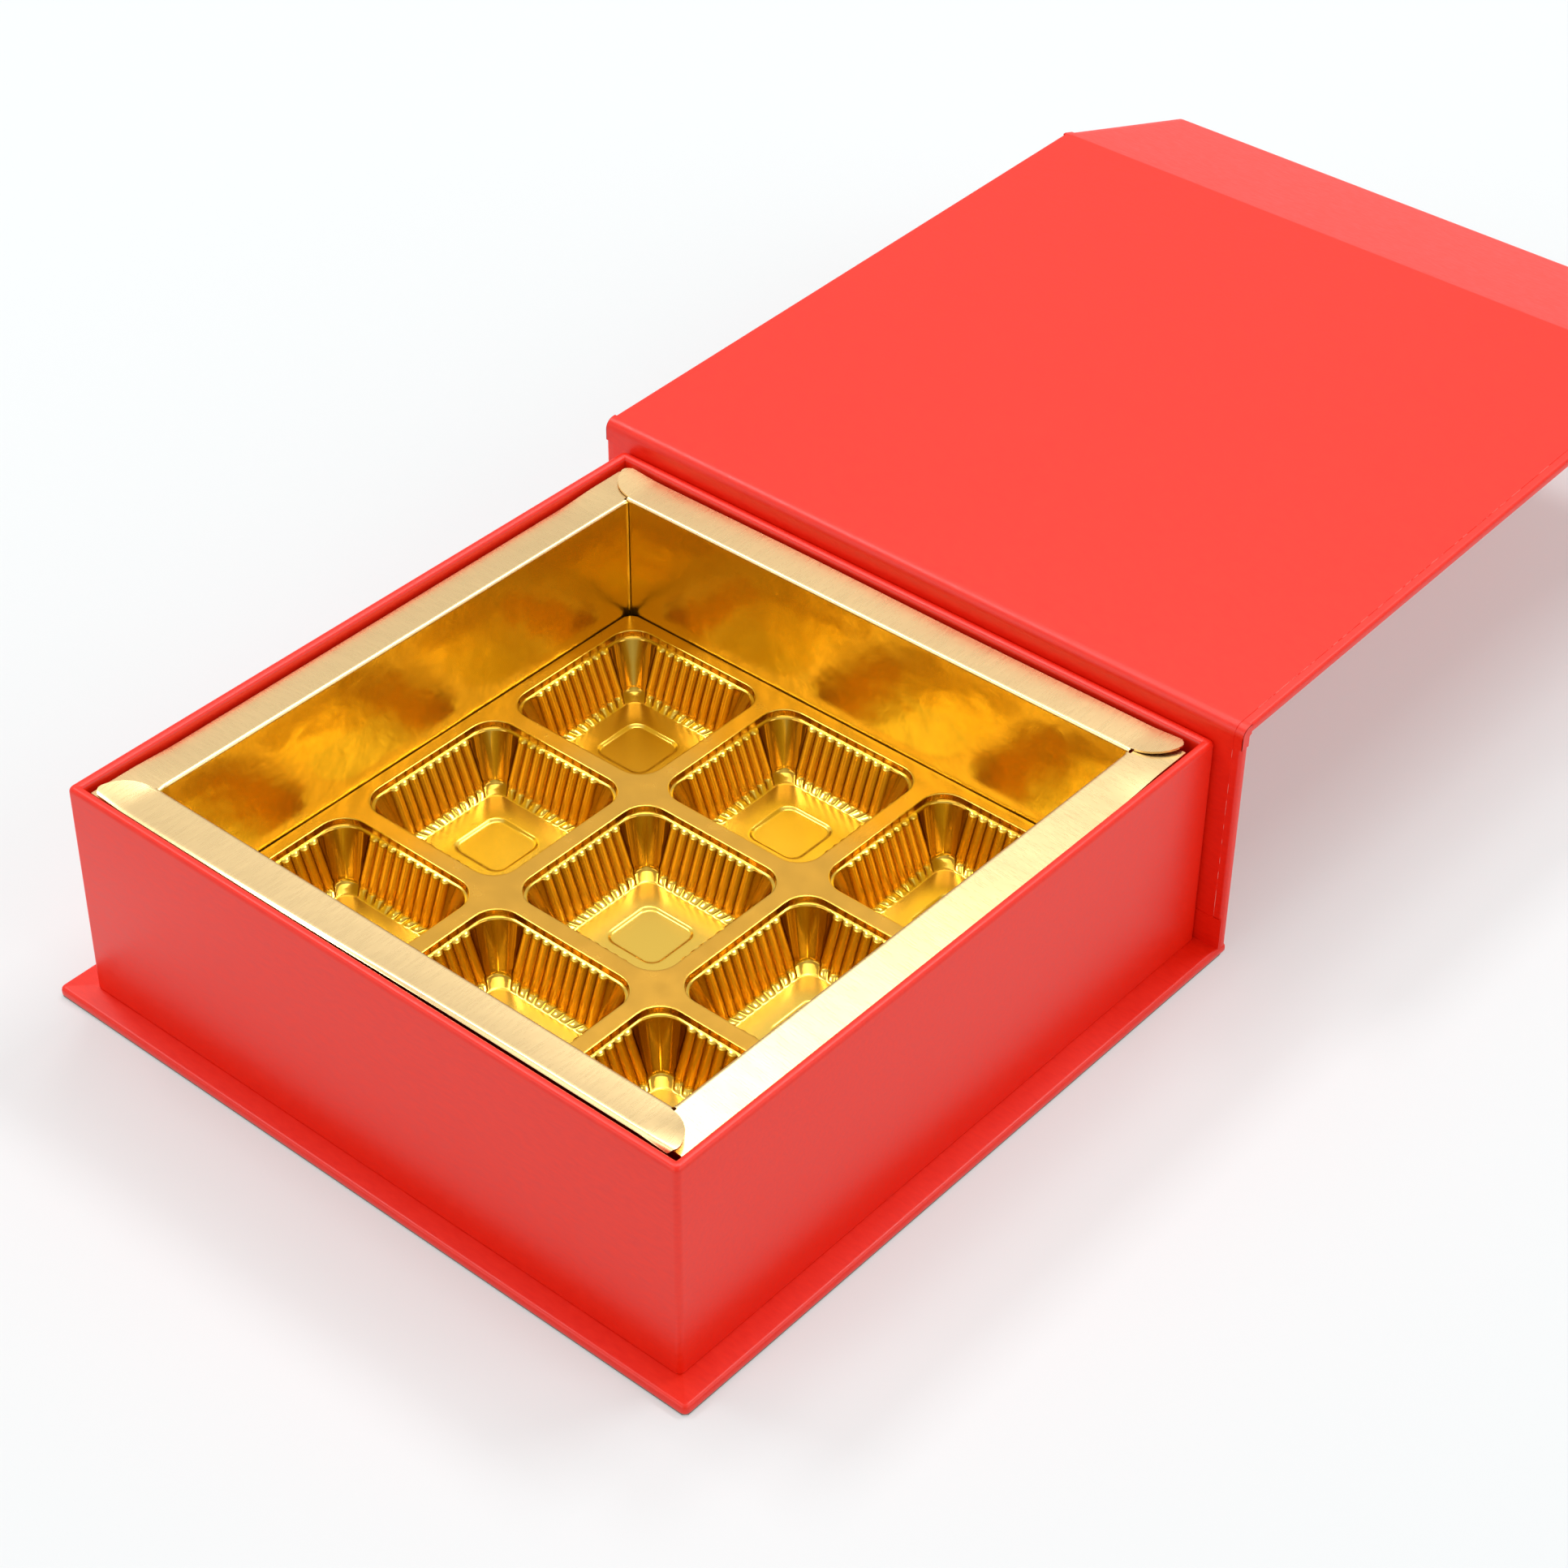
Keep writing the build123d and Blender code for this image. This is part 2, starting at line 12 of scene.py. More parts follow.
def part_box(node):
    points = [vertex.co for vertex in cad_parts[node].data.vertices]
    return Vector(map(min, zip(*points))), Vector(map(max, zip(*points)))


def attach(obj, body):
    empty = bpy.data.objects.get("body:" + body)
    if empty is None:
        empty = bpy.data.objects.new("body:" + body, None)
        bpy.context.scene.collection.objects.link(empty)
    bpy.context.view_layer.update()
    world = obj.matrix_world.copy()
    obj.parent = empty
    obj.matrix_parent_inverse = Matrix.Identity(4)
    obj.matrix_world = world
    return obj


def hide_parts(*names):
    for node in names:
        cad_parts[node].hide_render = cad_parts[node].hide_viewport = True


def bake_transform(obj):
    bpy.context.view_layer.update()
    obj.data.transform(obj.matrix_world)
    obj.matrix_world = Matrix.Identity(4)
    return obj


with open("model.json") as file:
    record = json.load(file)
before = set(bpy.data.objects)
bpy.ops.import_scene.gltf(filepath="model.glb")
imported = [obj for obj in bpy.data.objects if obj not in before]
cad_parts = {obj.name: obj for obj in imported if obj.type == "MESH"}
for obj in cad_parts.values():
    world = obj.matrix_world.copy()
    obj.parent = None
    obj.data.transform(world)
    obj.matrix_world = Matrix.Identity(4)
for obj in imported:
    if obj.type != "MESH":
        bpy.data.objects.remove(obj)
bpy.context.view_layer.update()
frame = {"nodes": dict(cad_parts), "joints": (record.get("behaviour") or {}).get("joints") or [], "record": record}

bl_info = {
    "name": "Chocolate box",
    "version": (1, 0, 0),
    "blender": (4, 5, 0),
    "location": "3D view > Sidebar > Chocolate box",
    "description": "Rigid gift box with wrapped covers, a foil collar and a formed insert",
    "category": "Mesh",
}

MM = 0.001
QUARTER = math.pi / 2


# Places read from the frame


def joint(name):
    """The record's entry for one joint."""
    return next(entry for entry in frame["joints"] if entry["name"] == name)


LID_PIVOT = Vector(joint("lid_hinge")["pos_m"])
FLAP_PIVOT = Vector(joint("flap_hinge")["pos_m"])
LID_RUN = FLAP_PIVOT - LID_PIVOT
LID_ANGLE = math.atan2(LID_RUN.z, LID_RUN.y)
FLAP_ANGLE = LID_ANGLE + math.radians(90 - joint("flap_hinge")["range_deg"][1])

BASE_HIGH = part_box("base_wrap")[1]
BOARD_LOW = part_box("base_board")[0]
TRAY_LOW, TRAY_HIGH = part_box("tray_wrap")
TRAY_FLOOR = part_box("tray_floor_paper")[1]
SPINE_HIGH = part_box("spine_wrap")[1]
INSERT_LOW, INSERT_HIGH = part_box("cavity_insert")
FRONT_LOW, FRONT_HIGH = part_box("collar_front")
RIGHT_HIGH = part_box("collar_right")[1]

CASE_HALF = BASE_HIGH.x
PANEL = BASE_HIGH.z
PAPER = BOARD_LOW.z
TRAY_WALL = TRAY_HIGH.x - TRAY_FLOOR.x
RIM = TRAY_HIGH.z
COLLAR_REACH = -FRONT_LOW.y
COLLAR_INNER = -FRONT_HIGH.y
FLANGE_TOP = FRONT_HIGH.z
CARD = FRONT_HIGH.z - RIGHT_HIGH.z
LEFT_EAR_END = -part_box("collar_left")[0].y
FLAP_EAR_END = -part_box("collar_seam_panel")[1].y

SPINE_PLACE = Matrix.Translation((0, SPINE_HIGH.y, 0)) @ Matrix.Rotation(QUARTER, 4, "X")
LID_PLACE = Matrix.Translation(LID_PIVOT) @ Matrix.Rotation(LID_ANGLE, 4, "X")
FLAP_PLACE = Matrix.Translation(FLAP_PIVOT) @ Matrix.Rotation(FLAP_ANGLE, 4, "X")


# Sizes and colours


def length(name, description, size):
    """Length property with its default given in millimetres."""
    return FloatProperty(name=name, description=description, default=size * MM, unit="LENGTH")


def degrees(name, description, turn):
    """Angle property with its default given in degrees."""
    return FloatProperty(
        name=name, description=description, default=math.radians(turn), subtype="ANGLE"
    )


class BoxSizes(bpy.types.PropertyGroup):
    """Sizes of the visible details."""

    turn_in: length("Turn-in", "Cover paper folded over onto the inner face", 15)
    liner_margin: length("Liner margin", "Inner liner short of a wrapped edge", 2)
    card_bend: length("Collar bend", "Radius of the fold between collar wall and flange", 0.7)
    flange_curl: length("Flange curl", "How far the rounded flange ends lift", 0.7)
    film_gauge: length("Film gauge", "Thickness of the formed sheet", 0.4)
    web: length("Web", "Deck between two cavities", 3.95)
    cavity_depth: length("Cavity depth", "Deck down to a cavity floor", 12.35)
    flute_pitch: length("Flute pitch", "Distance between two flutes", 2.4)
    flute_height: length("Flute height", "How far a flute stands into the cavity", 0.7)
    cells_across: IntProperty(
        name="Cavities across",
        description="Cavities in one row of the insert",
        default=3,
        min=1,
    )
    edge_round: length("Edge rounding", "Radius of a paper-wrapped edge", 0.8)
    rim_round: length("Rim rounding", "Radius of the tray rim, inside and out", 1.05)
    corner_round: length("Corner rounding", "Radius of an upright wrapped corner", 1.2)
    camera_azimuth: degrees("Camera azimuth", "Camera bearing from straight in front", 40.222)
    camera_elevation: degrees("Camera elevation", "Height of the camera above level", 38.5307)
    camera_roll: degrees("Camera roll", "Tilt of the camera about its own axis", 0.6507)
    camera_lens: FloatProperty(
        name="Camera lens",
        description="Focal length over a 36 mm sensor",
        default=78.664,
    )
    camera_place: FloatVectorProperty(
        name="Camera place",
        description="Where the camera stands",
        default=(0.3398243, -0.3627072, 0.4418113),
        subtype="TRANSLATION",
        unit="LENGTH",
    )


def linear(code):
    """Linear colour of an sRGB hex value."""
    channels = [int(code[place : place + 2], 16) / 255 for place in (1, 3, 5)]
    return [c / 12.92 if c <= 0.04045 else ((c + 0.055) / 1.055) ** 2.4 for c in channels]


def colour(name, description, code):
    """Colour property with its default given as an sRGB hex value."""
    return FloatVectorProperty(
        name=name, description=description, default=linear(code), subtype="COLOR", min=0, max=1
    )


class BoxColours(bpy.types.PropertyGroup):
    """Colours of the materials."""

    paper: colour("Paper", "Red art paper under its film", "#FA290A")
    paper_dark: colour("Paper shade", "Darker fibres of the paper", "#F12008")
    paper_core: colour("Paper core", "Cut edge of the paper", "#F7C9BC")
    foil: colour("Foil", "Pale gold foil of the flanges", "#F6D69C")
    # Painted shade: a deeper, yellower copy of the flange foil for the collar walls
    foil_deep: colour("Deep foil", "Foil of the collar walls", "#EDCF55")
    card: colour("Card", "Bare back and cut edge of the foil card", "#E6DFD2")
    film: colour("Film", "Satin gold of the cavity floors", "#EBC355")
    film_wall: colour("Drawn film", "Film drawn thin over the cavity walls", "#ECC252")
    # Painted shade: the darker gold that the cavities take in their grooves and corners
    film_groove: colour("Film in the grooves", "Film at the bottom of the flutes", "#9A660C")
    # Painted shade: the deck takes a darker, more orange copy of the cavity film
    film_deck: colour("Deck film", "Satin gold of the deck of the insert", "#E2AB44")
    board: colour("Greyboard", "Recycled board inside the covers", "#8C867C")
    tape: colour("Tape", "Kraft tape in the corners", "#B89A6A")
    nickel: colour("Nickel", "Plating of the magnets", "#B9B7B2")
    ground: colour("Ground", "Background of the studio", "#FCFBF9")
    sweep: colour("Sweep", "White paper sweep as the box is lit by it", "#E7E6E5")
    sweep_seen: colour("Sweep seen", "White paper sweep as the camera sees it", "#CBCBCD")
    sweep_glow: colour("Sweep glow", "Light that the sweep adds for the camera", "#EDF9F6")


def sizes():
    """The sizes in use."""
    return bpy.context.scene.box_sizes


def colours():
    """The colours in use."""
    return bpy.context.scene.box_colours


# Materials

# Streaks, roughness, depth of the grain and depth of the waves of the foil
FLANGE_FINISH = (0.6, 0.26, 0.012 * MM, 0.3 * MM)
WALL_FINISH = (0.1, 0.24, 0.001 * MM, 1.6 * MM)

# Point colour of the formed sheet: how far it was drawn, and the shade painted in its hollows
DRAWN_AND_GROOVE_SHADE = "Drawn"


def add_node(tree, kind, settings=None, links=None):
    """Add a node with its settings and links; a linked node gives its first output."""
    node = tree.nodes.new(kind)
    for key, value in (settings or {}).items():
        if isinstance(key, str) and hasattr(node, key):
            setattr(node, key, value)
        else:
            node.inputs[key].default_value = value
    for key, source in (links or {}).items():
        socket = source.outputs[0] if isinstance(source, bpy.types.Node) else source
        tree.links.new(socket, node.inputs[key])
    return node


def new_material(name):
    """Empty node material, and its tree."""
    material = bpy.data.materials.new(name)
    material.use_nodes = True
    material.node_tree.nodes.clear()
    return material, material.node_tree


def finish_material(material, shader):
    """Join the shader to the surface output."""
    add_node(material.node_tree, "ShaderNodeOutputMaterial", None, {"Surface": shader})
    return material


def rgba(value):
    """Colour with full opacity."""
    return (*value[:3], 1.0)


def spacing(size):
    """Texture scale of a pattern whose parts are that many millimetres apart."""
    return 1 / (size * MM)


def laminated_paper(name, shade, dark):
    """Red art paper under a satin film: an even deep colour, a faint fibre grain, a soft sheen."""
    material, tree = new_material(name)
    place = add_node(tree, "ShaderNodeTexCoord").outputs["Object"]
    fibre = (spacing(2.4), spacing(0.7), spacing(0.7))
    drawn = add_node(
        tree, "ShaderNodeMapping", {"Rotation": (0.3, 0.2, 0.6), "Scale": fibre}, {"Vector": place}
    )
    fibres = add_node(tree, "ShaderNodeTexNoise", {"Scale": 1.0, "Detail": 4.0}, {"Vector": drawn})
    swell = add_node(
        tree, "ShaderNodeTexNoise", {"Scale": spacing(24), "Detail": 2.0}, {"Vector": place}
    )
    share = add_node(
        tree, "ShaderNodeMapRange", {"From Min": 0.25, "From Max": 0.7}, {"Value": fibres}
    )
    tone = add_node(
        tree, "ShaderNodeMix", {"data_type": "RGBA", 6: rgba(dark), 7: rgba(shade)}, {0: share}
    )
    gloss = add_node(
        tree,
        "ShaderNodeMapRange",
        {"From Min": 0.3, "From Max": 0.7, "To Min": 0.34, "To Max": 0.42},
        {"Value": fibres},
    )
    fine = add_node(
        tree, "ShaderNodeBump", {"Strength": 0.22, "Distance": 0.02 * MM}, {"Height": fibres}
    )
    waves = add_node(
        tree,
        "ShaderNodeBump",
        {"Strength": 0.35, "Distance": 0.3 * MM},
        {"Height": swell, "Normal": fine},
    )
    shader = add_node(
        tree,
        "ShaderNodeBsdfPrincipled",
        {"IOR": 1.5, "Specular IOR Level": 0.5},
        {"Base Color": tone.outputs[2], "Roughness": gloss, "Normal": waves},
    )
    return finish_material(material, shader)


def cut_edge(name, shade, core):
    """Cut through laminated paper: the pale core breaks through the red in patches."""
    material, tree = new_material(name)
    place = add_node(tree, "ShaderNodeTexCoord").outputs["Object"]
    patches = add_node(
        tree, "ShaderNodeTexNoise", {"Scale": spacing(3), "Detail": 4.0}, {"Vector": place}
    )
    share = add_node(
        tree, "ShaderNodeMapRange", {"From Min": 0.5, "From Max": 0.58}, {"Value": patches}
    )
    tone = add_node(
        tree, "ShaderNodeMix", {"data_type": "RGBA", 6: rgba(shade), 7: rgba(core)}, {0: share}
    )
    shader = add_node(
        tree, "ShaderNodeBsdfPrincipled", {"Roughness": 0.7}, {"Base Color": tone.outputs[2]}
    )
    return finish_material(material, shader)


def brushed_foil(name, shade, turn, streak, rough, grain_depth, wave):
    """Gold foil laminated on card: metallic, a fine brushed grain drawn coarse enough to see."""
    material, tree = new_material(name)
    place = add_node(tree, "ShaderNodeTexCoord").outputs["Object"]
    turned = add_node(tree, "ShaderNodeMapping", {"Rotation": (0, 0, turn)}, {"Vector": place})
    drawn = add_node(
        tree,
        "ShaderNodeMapping",
        {"Scale": (spacing(0.3), spacing(4), spacing(4))},
        {"Vector": turned},
    )
    grain = add_node(tree, "ShaderNodeTexNoise", {"Scale": 1.0, "Detail": 4.0}, {"Vector": drawn})
    clouds = add_node(
        tree, "ShaderNodeTexNoise", {"Scale": spacing(16), "Detail": 2.5}, {"Vector": place}
    )
    dark = [channel * (1 - 0.1 * streak) for channel in shade]
    tone = add_node(
        tree, "ShaderNodeMix", {"data_type": "RGBA", 6: rgba(dark), 7: rgba(shade)}, {0: grain}
    )
    gloss = add_node(
        tree,
        "ShaderNodeMapRange",
        {"From Min": 0.3, "From Max": 0.7, "To Min": rough, "To Max": rough + 0.08 * streak},
        {"Value": grain},
    )
    fine = add_node(
        tree, "ShaderNodeBump", {"Strength": 0.2, "Distance": grain_depth}, {"Height": grain}
    )
    creases = add_node(
        tree,
        "ShaderNodeTexNoise",
        {"Scale": spacing(3.5), "Detail": 3.0, "Distortion": 0.6},
        {"Vector": place},
    )
    crinkle = add_node(
        tree,
        "ShaderNodeBump",
        {"Strength": 0.4, "Distance": wave * 0.12},
        {"Height": creases, "Normal": fine},
    )
    waves = add_node(
        tree,
        "ShaderNodeBump",
        {"Strength": 0.5, "Distance": wave},
        {"Height": clouds, "Normal": crinkle},
    )
    shader = add_node(
        tree,
        "ShaderNodeBsdfPrincipled",
        {"Metallic": 1.0},
        {"Base Color": tone.outputs[2], "Roughness": gloss, "Normal": waves},
    )
    return finish_material(material, shader)


def satin_film(name, shade):
    """Vacuum-metallised polystyrene film where it stayed flat: satin gold with a soft sheen."""
    material, tree = new_material(name)
    place = add_node(tree, "ShaderNodeTexCoord").outputs["Object"]
    clouds = add_node(
        tree, "ShaderNodeTexNoise", {"Scale": spacing(5), "Detail": 3.0}, {"Vector": place}
    )
    gloss = add_node(
        tree,
        "ShaderNodeMapRange",
        {"From Min": 0.3, "From Max": 0.7, "To Min": 0.2, "To Max": 0.28},
        {"Value": clouds},
    )
    bump = add_node(
        tree, "ShaderNodeBump", {"Strength": 0.3, "Distance": 0.06 * MM}, {"Height": clouds}
    )
    shader = add_node(
        tree,
        "ShaderNodeBsdfPrincipled",
        {"Base Color": rgba(shade), "Metallic": 1.0},
        {"Roughness": gloss, "Normal": bump},
    )
    return finish_material(material, shader)


def drawn_film_with_shade(name, flat, wall, groove):
    """Metallised film as it was drawn: satin floors, mirror walls, painted shade in the hollows."""
    material, tree = new_material(name)
    place = add_node(tree, "ShaderNodeTexCoord").outputs["Object"]
    drawn = add_node(tree, "ShaderNodeAttribute", {"attribute_name": DRAWN_AND_GROOVE_SHADE})
    shares = add_node(tree, "ShaderNodeSeparateColor", None, {0: drawn.outputs["Color"]})
    clouds = add_node(
        tree, "ShaderNodeTexNoise", {"Scale": spacing(5), "Detail": 3.0}, {"Vector": place}
    )
    lit = add_node(
        tree, "ShaderNodeMix", {"data_type": "RGBA", 6: rgba(flat), 7: rgba(wall)}, {0: shares}
    )
    # Painted shade: the second share darkens the gold towards the groove colour
    tone = add_node(
        tree,
        "ShaderNodeMix",
        {"data_type": "RGBA", 7: rgba(groove)},
        {0: shares.outputs[1], 6: lit.outputs[2]},
    )
    gloss = add_node(
        tree, "ShaderNodeMapRange", {"To Min": 0.22, "To Max": 0.11}, {"Value": shares}
    )
    bump = add_node(
        tree, "ShaderNodeBump", {"Strength": 0.3, "Distance": 0.02 * MM}, {"Height": clouds}
    )
    shader = add_node(
        tree,
        "ShaderNodeBsdfPrincipled",
        {"Metallic": 1.0},
        {"Base Color": tone.outputs[2], "Roughness": gloss, "Normal": bump},
    )
    return finish_material(material, shader)


def plain_sheet(name, shade, metallic, roughness, fleck):
    """Inner stock that the covers hide: an even colour broken by its grain."""
    material, tree = new_material(name)
    place = add_node(tree, "ShaderNodeTexCoord").outputs["Object"]
    grain = add_node(
        tree, "ShaderNodeTexNoise", {"Scale": spacing(fleck), "Detail": 4.0}, {"Vector": place}
    )
    dark = [channel * 0.7 for channel in shade]
    tone = add_node(
        tree, "ShaderNodeMix", {"data_type": "RGBA", 6: rgba(dark), 7: rgba(shade)}, {0: grain}
    )
    bump = add_node(
        tree, "ShaderNodeBump", {"Strength": 0.4, "Distance": 0.05 * MM}, {"Height": grain}
    )
    shader = add_node(
        tree,
        "ShaderNodeBsdfPrincipled",
        {"Metallic": metallic, "Roughness": roughness},
        {"Base Color": tone.outputs[2], "Normal": bump},
    )
    return finish_material(material, shader)


def made(name, maker, *values):
    """The named material, made on first use."""
    return bpy.data.materials.get(name) or maker(name, *values)


def paper_material():
    """Cover paper of the case, the lid and the tray."""
    return made("Laminated_red_paper", laminated_paper, colours().paper, colours().paper_dark)


def edge_material():
    """Cut paper: its pale core shows in patches along the cut."""
    return made("Cut_paper_edge", cut_edge, colours().paper, colours().paper_core)


# Modelling

TOLERANCE = 0.01 * MM

# Least part of a normal along an axis for its face to be square to it
SQUARE = 0.99


def clear_selection():
    """Object mode with nothing selected."""
    if bpy.context.mode != "OBJECT":
        bpy.ops.object.mode_set(mode="OBJECT")
    bpy.ops.object.select_all(action="DESELECT")


def select(*pieces):
    """Select pieces in object mode, the first one active."""
    clear_selection()
    for piece in pieces:
        piece.select_set(True)
    bpy.context.view_layer.objects.active = pieces[0]


def edit(piece, mode="FACE", action="DESELECT"):
    """Edit mode on one piece, with nothing or all of it selected."""
    select(piece)
    bpy.ops.object.mode_set(mode="EDIT")
    bpy.ops.mesh.select_mode(type=mode)
    bpy.ops.mesh.select_all(action=action)


def named(name):
    """Name the active object and its mesh."""
    piece = bpy.context.active_object
    piece.name = piece.data.name = name
    return piece


def start_block(name, low, high):
    """Cube primitive between two corners, opened in edit mode."""
    clear_selection()
    low, high = Vector(low), Vector(high)
    bpy.ops.mesh.primitive_cube_add(size=1, location=(low + high) / 2, scale=high - low)
    bpy.ops.object.transform_apply(location=True, rotation=True, scale=True)
    piece = named(name)
    edit(piece)
    return piece


def draw_grid(name, columns, rows, place):
    """Grid primitive whose points go where their column and row put them.

    The column is given as a place from -0.5 to 0.5, the row as its number.
    """
    clear_selection()
    bpy.ops.mesh.primitive_grid_add(
        x_subdivisions=columns, y_subdivisions=rows, size=1, location=(0, 0, 0)
    )
    piece = named(name)
    for vert in piece.data.vertices:
        vert.co = place(vert.co.x, round((vert.co.y + 0.5) * rows))
    return piece


def pick(piece, kind, test):
    """In edit mode, select the edges or faces that pass a test."""
    bpy.ops.mesh.select_mode(type={"edges": "EDGE", "faces": "FACE"}[kind])
    bpy.ops.mesh.select_all(action="DESELECT")
    mesh = bmesh.from_edit_mesh(piece.data)
    for item in getattr(mesh, kind):
        if test(item):
            item.select_set(True)
    bmesh.update_edit_mesh(piece.data)


def round_edges(piece, test, radius, segments):
    """Round the edges that pass a test."""
    pick(piece, "edges", test)
    bpy.ops.mesh.bevel(offset=radius, segments=segments, affect="EDGES")


def move_points(piece, move):
    """In edit mode, move each selected point by a rule."""
    mesh = bmesh.from_edit_mesh(piece.data)
    for vert in mesh.verts:
        if vert.select:
            vert.co = move(vert.co.copy())
    bmesh.update_edit_mesh(piece.data)


def near(value, target):
    """Equal within the tolerance."""
    return abs(value - target) < TOLERANCE


def level_edge(edge, axis, value):
    """An edge that lies in one plane across an axis."""
    return all(near(vert.co[axis], value) for vert in edge.verts)


def upright(edge):
    """An edge that runs straight up."""
    first, last = (vert.co for vert in edge.verts)
    return near(first.x, last.x) and near(first.y, last.y)


def apply_modifier(piece, kind, **settings):
    """Add one modifier and apply it."""
    select(piece)
    modifier = piece.modifiers.new(kind.title(), kind)
    for key, value in settings.items():
        setattr(modifier, key, value)
    bpy.ops.object.modifier_apply(modifier=modifier.name)


def settle(piece, place=None, angle=40):
    """Smooth the piece and put its place into its mesh."""
    select(piece)
    if place:
        piece.matrix_world = place
        bpy.context.view_layer.update()
    bpy.ops.object.transform_apply(location=True, rotation=True, scale=True)
    bpy.ops.object.shade_smooth_by_angle(angle=math.radians(angle))
    clear_selection()


def wear(piece, *materials):
    """Give a piece its materials."""
    for material in materials:
        piece.data.materials.append(material)


def local_box(node, place):
    """Lowest and highest corner of a CAD node in the axes of its panel."""
    back = place.inverted()
    points = [back @ vert.co for vert in frame["nodes"][node].data.vertices]
    low = Vector([min(point[axis] for point in points) for axis in range(3)])
    high = Vector([max(point[axis] for point in points) for axis in range(3)])
    return low, high


# Covered panels

LINER_CORNER = 0.6 * MM

# Faces larger than this, in square metres, are the broad ones of a panel
BROAD = 1e-4


def wrapped_cover(name, node, body, place, free_start, free_end, shut=None):
    """Cover paper round a board: over the outer face and edges, turned in on the inner face.

    Its ends are free, or a fold leaves them open; one at a crease is only shut off square.
    """
    size = sizes()
    low, high = local_box(node, place)
    piece = start_block(name, low, high)
    ends = [low.y] * free_start + [high.y] * free_end
    if ends:
        round_edges(
            piece,
            lambda e: upright(e) and any(near(e.verts[0].co.y, end) for end in ends),
            size.corner_round,
            segments=5,
        )
    folds = [low.y] * (not free_start) + [high.y] * (not free_end)
    round_edges(
        piece,
        lambda e: (level_edge(e, 2, low.z) or level_edge(e, 2, high.z))
        and not any(level_edge(e, 1, fold) for fold in folds),
        size.edge_round,
        segments=4,
    )
    if shut:
        folds.remove({"start": low.y, "end": high.y}[shut])
    if folds:
        pick(
            piece,
            "faces",
            lambda f: abs(f.normal.y) > SQUARE
            and any(near(f.calc_center_median().y, fold) for fold in folds),
        )
        bpy.ops.mesh.delete(type="FACE")
    pick(piece, "faces", lambda f: f.normal.z > SQUARE and f.calc_area() > BROAD)
    bpy.ops.mesh.inset(thickness=size.turn_in - size.edge_round, use_boundary=True)
    square_window(piece, low, high, size.turn_in)
    bpy.ops.mesh.delete(type="FACE")
    apply_modifier(piece, "SOLIDIFY", thickness=PAPER, offset=-1)
    wear(piece, paper_material())
    settle(piece, place)
    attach(piece, body)
    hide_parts(node)


def square_window(piece, low, high, margin):
    """Draw the selected points to the corners of a window that margin inside a box."""

    def to_corner(point):
        for axis in (0, 1):
            far = point[axis] > (low[axis] + high[axis]) / 2
            point[axis] = high[axis] - margin if far else low[axis] + margin
        return point

    move_points(piece, to_corner)


def lining(name, node, body, place):
    """Inner liner of a panel: a thin sheet whose cut edge shows its pale core."""
    low, high = local_box(node, place)
    low.z = high.z - PAPER
    folds = [low.y, high.y]
    piece = start_block(name, low, high)
    if node == "flap_liner":
        folds.remove(high.y)
        round_edges(
            piece,
            lambda e: upright(e) and near(e.verts[0].co.y, high.y),
            LINER_CORNER,
            segments=4,
        )
    bpy.ops.object.mode_set(mode="OBJECT")
    for face in piece.data.polygons:
        at_fold = any(near(face.center.y, fold) for fold in folds)
        face.material_index = int(abs(face.normal.z) < SQUARE and not at_fold)
    wear(piece, paper_material(), edge_material())
    settle(piece, place)
    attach(piece, body)
    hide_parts(node)


class CaseCovers(bpy.types.Operator):
    """Covers and liners of base, spine, lid and flap."""

    bl_idname = "box.case_covers"
    bl_label = "Case covers"

    def execute(self, context):
        level = Matrix.Identity(4)
        wrapped_cover("Base_cover", "base_wrap", "box", level, True, False, "end")
        wrapped_cover("Spine_cover", "spine_wrap", "box", SPINE_PLACE, False, False, "start")
        wrapped_cover("Lid_cover", "lid_wrap", "lid", LID_PLACE, False, False)
        wrapped_cover("Flap_cover", "flap_wrap", "flap", FLAP_PLACE, False, True)
        lining("Spine_lining", "spine_liner", "box", SPINE_PLACE)
        lining("Lid_lining", "lid_liner", "lid", LID_PLACE)
        lining("Flap_lining", "flap_liner", "flap", FLAP_PLACE)
        return {"FINISHED"}


# Tray

FOOT_ROUND = 0.38 * MM


class TrayCover(bpy.types.Operator):
    """Cover paper of the tray, over its rim and down its inner faces."""

    bl_idname = "box.tray_cover"
    bl_label = "Tray cover"

    def execute(self, context):
        size = sizes()
        piece = start_block("Tray_cover", TRAY_LOW, TRAY_HIGH)
        round_edges(piece, upright, size.corner_round, segments=6)
        pick(piece, "faces", lambda f: f.normal.z > SQUARE)
        bpy.ops.mesh.inset(thickness=TRAY_WALL)
        square_window(piece, TRAY_LOW, TRAY_HIGH, TRAY_WALL)
        bpy.ops.mesh.extrude_region_move()
        bpy.ops.transform.translate(value=(0, 0, TRAY_FLOOR.z - RIM))
        bpy.ops.mesh.delete(type="FACE")
        round_edges(
            piece,
            lambda e: level_edge(e, 2, RIM) and len({round(f.normal.z) for f in e.link_faces}) > 1,
            size.rim_round,
            segments=6,
        )
        round_edges(piece, lambda e: level_edge(e, 2, TRAY_LOW.z), FOOT_ROUND, segments=3)
        pick(piece, "faces", lambda f: f.normal.z < -SQUARE)
        bpy.ops.mesh.inset(thickness=size.turn_in)
        bpy.ops.mesh.delete(type="FACE")
        apply_modifier(piece, "SOLIDIFY", thickness=PAPER, offset=-1)
        wear(piece, paper_material())
        settle(piece)
        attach(piece, "box")
        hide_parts("tray_wrap")
        return {"FINISHED"}


# Folds

FOLD_STEPS = 10
FOLD_COLUMNS = 6

# Bend radii of the outer and of the inner face of a fold
LID_BENDS = (0.4 * MM, 2.06 * MM)
FLAP_BENDS = (1.5 * MM, 2.0 * MM)


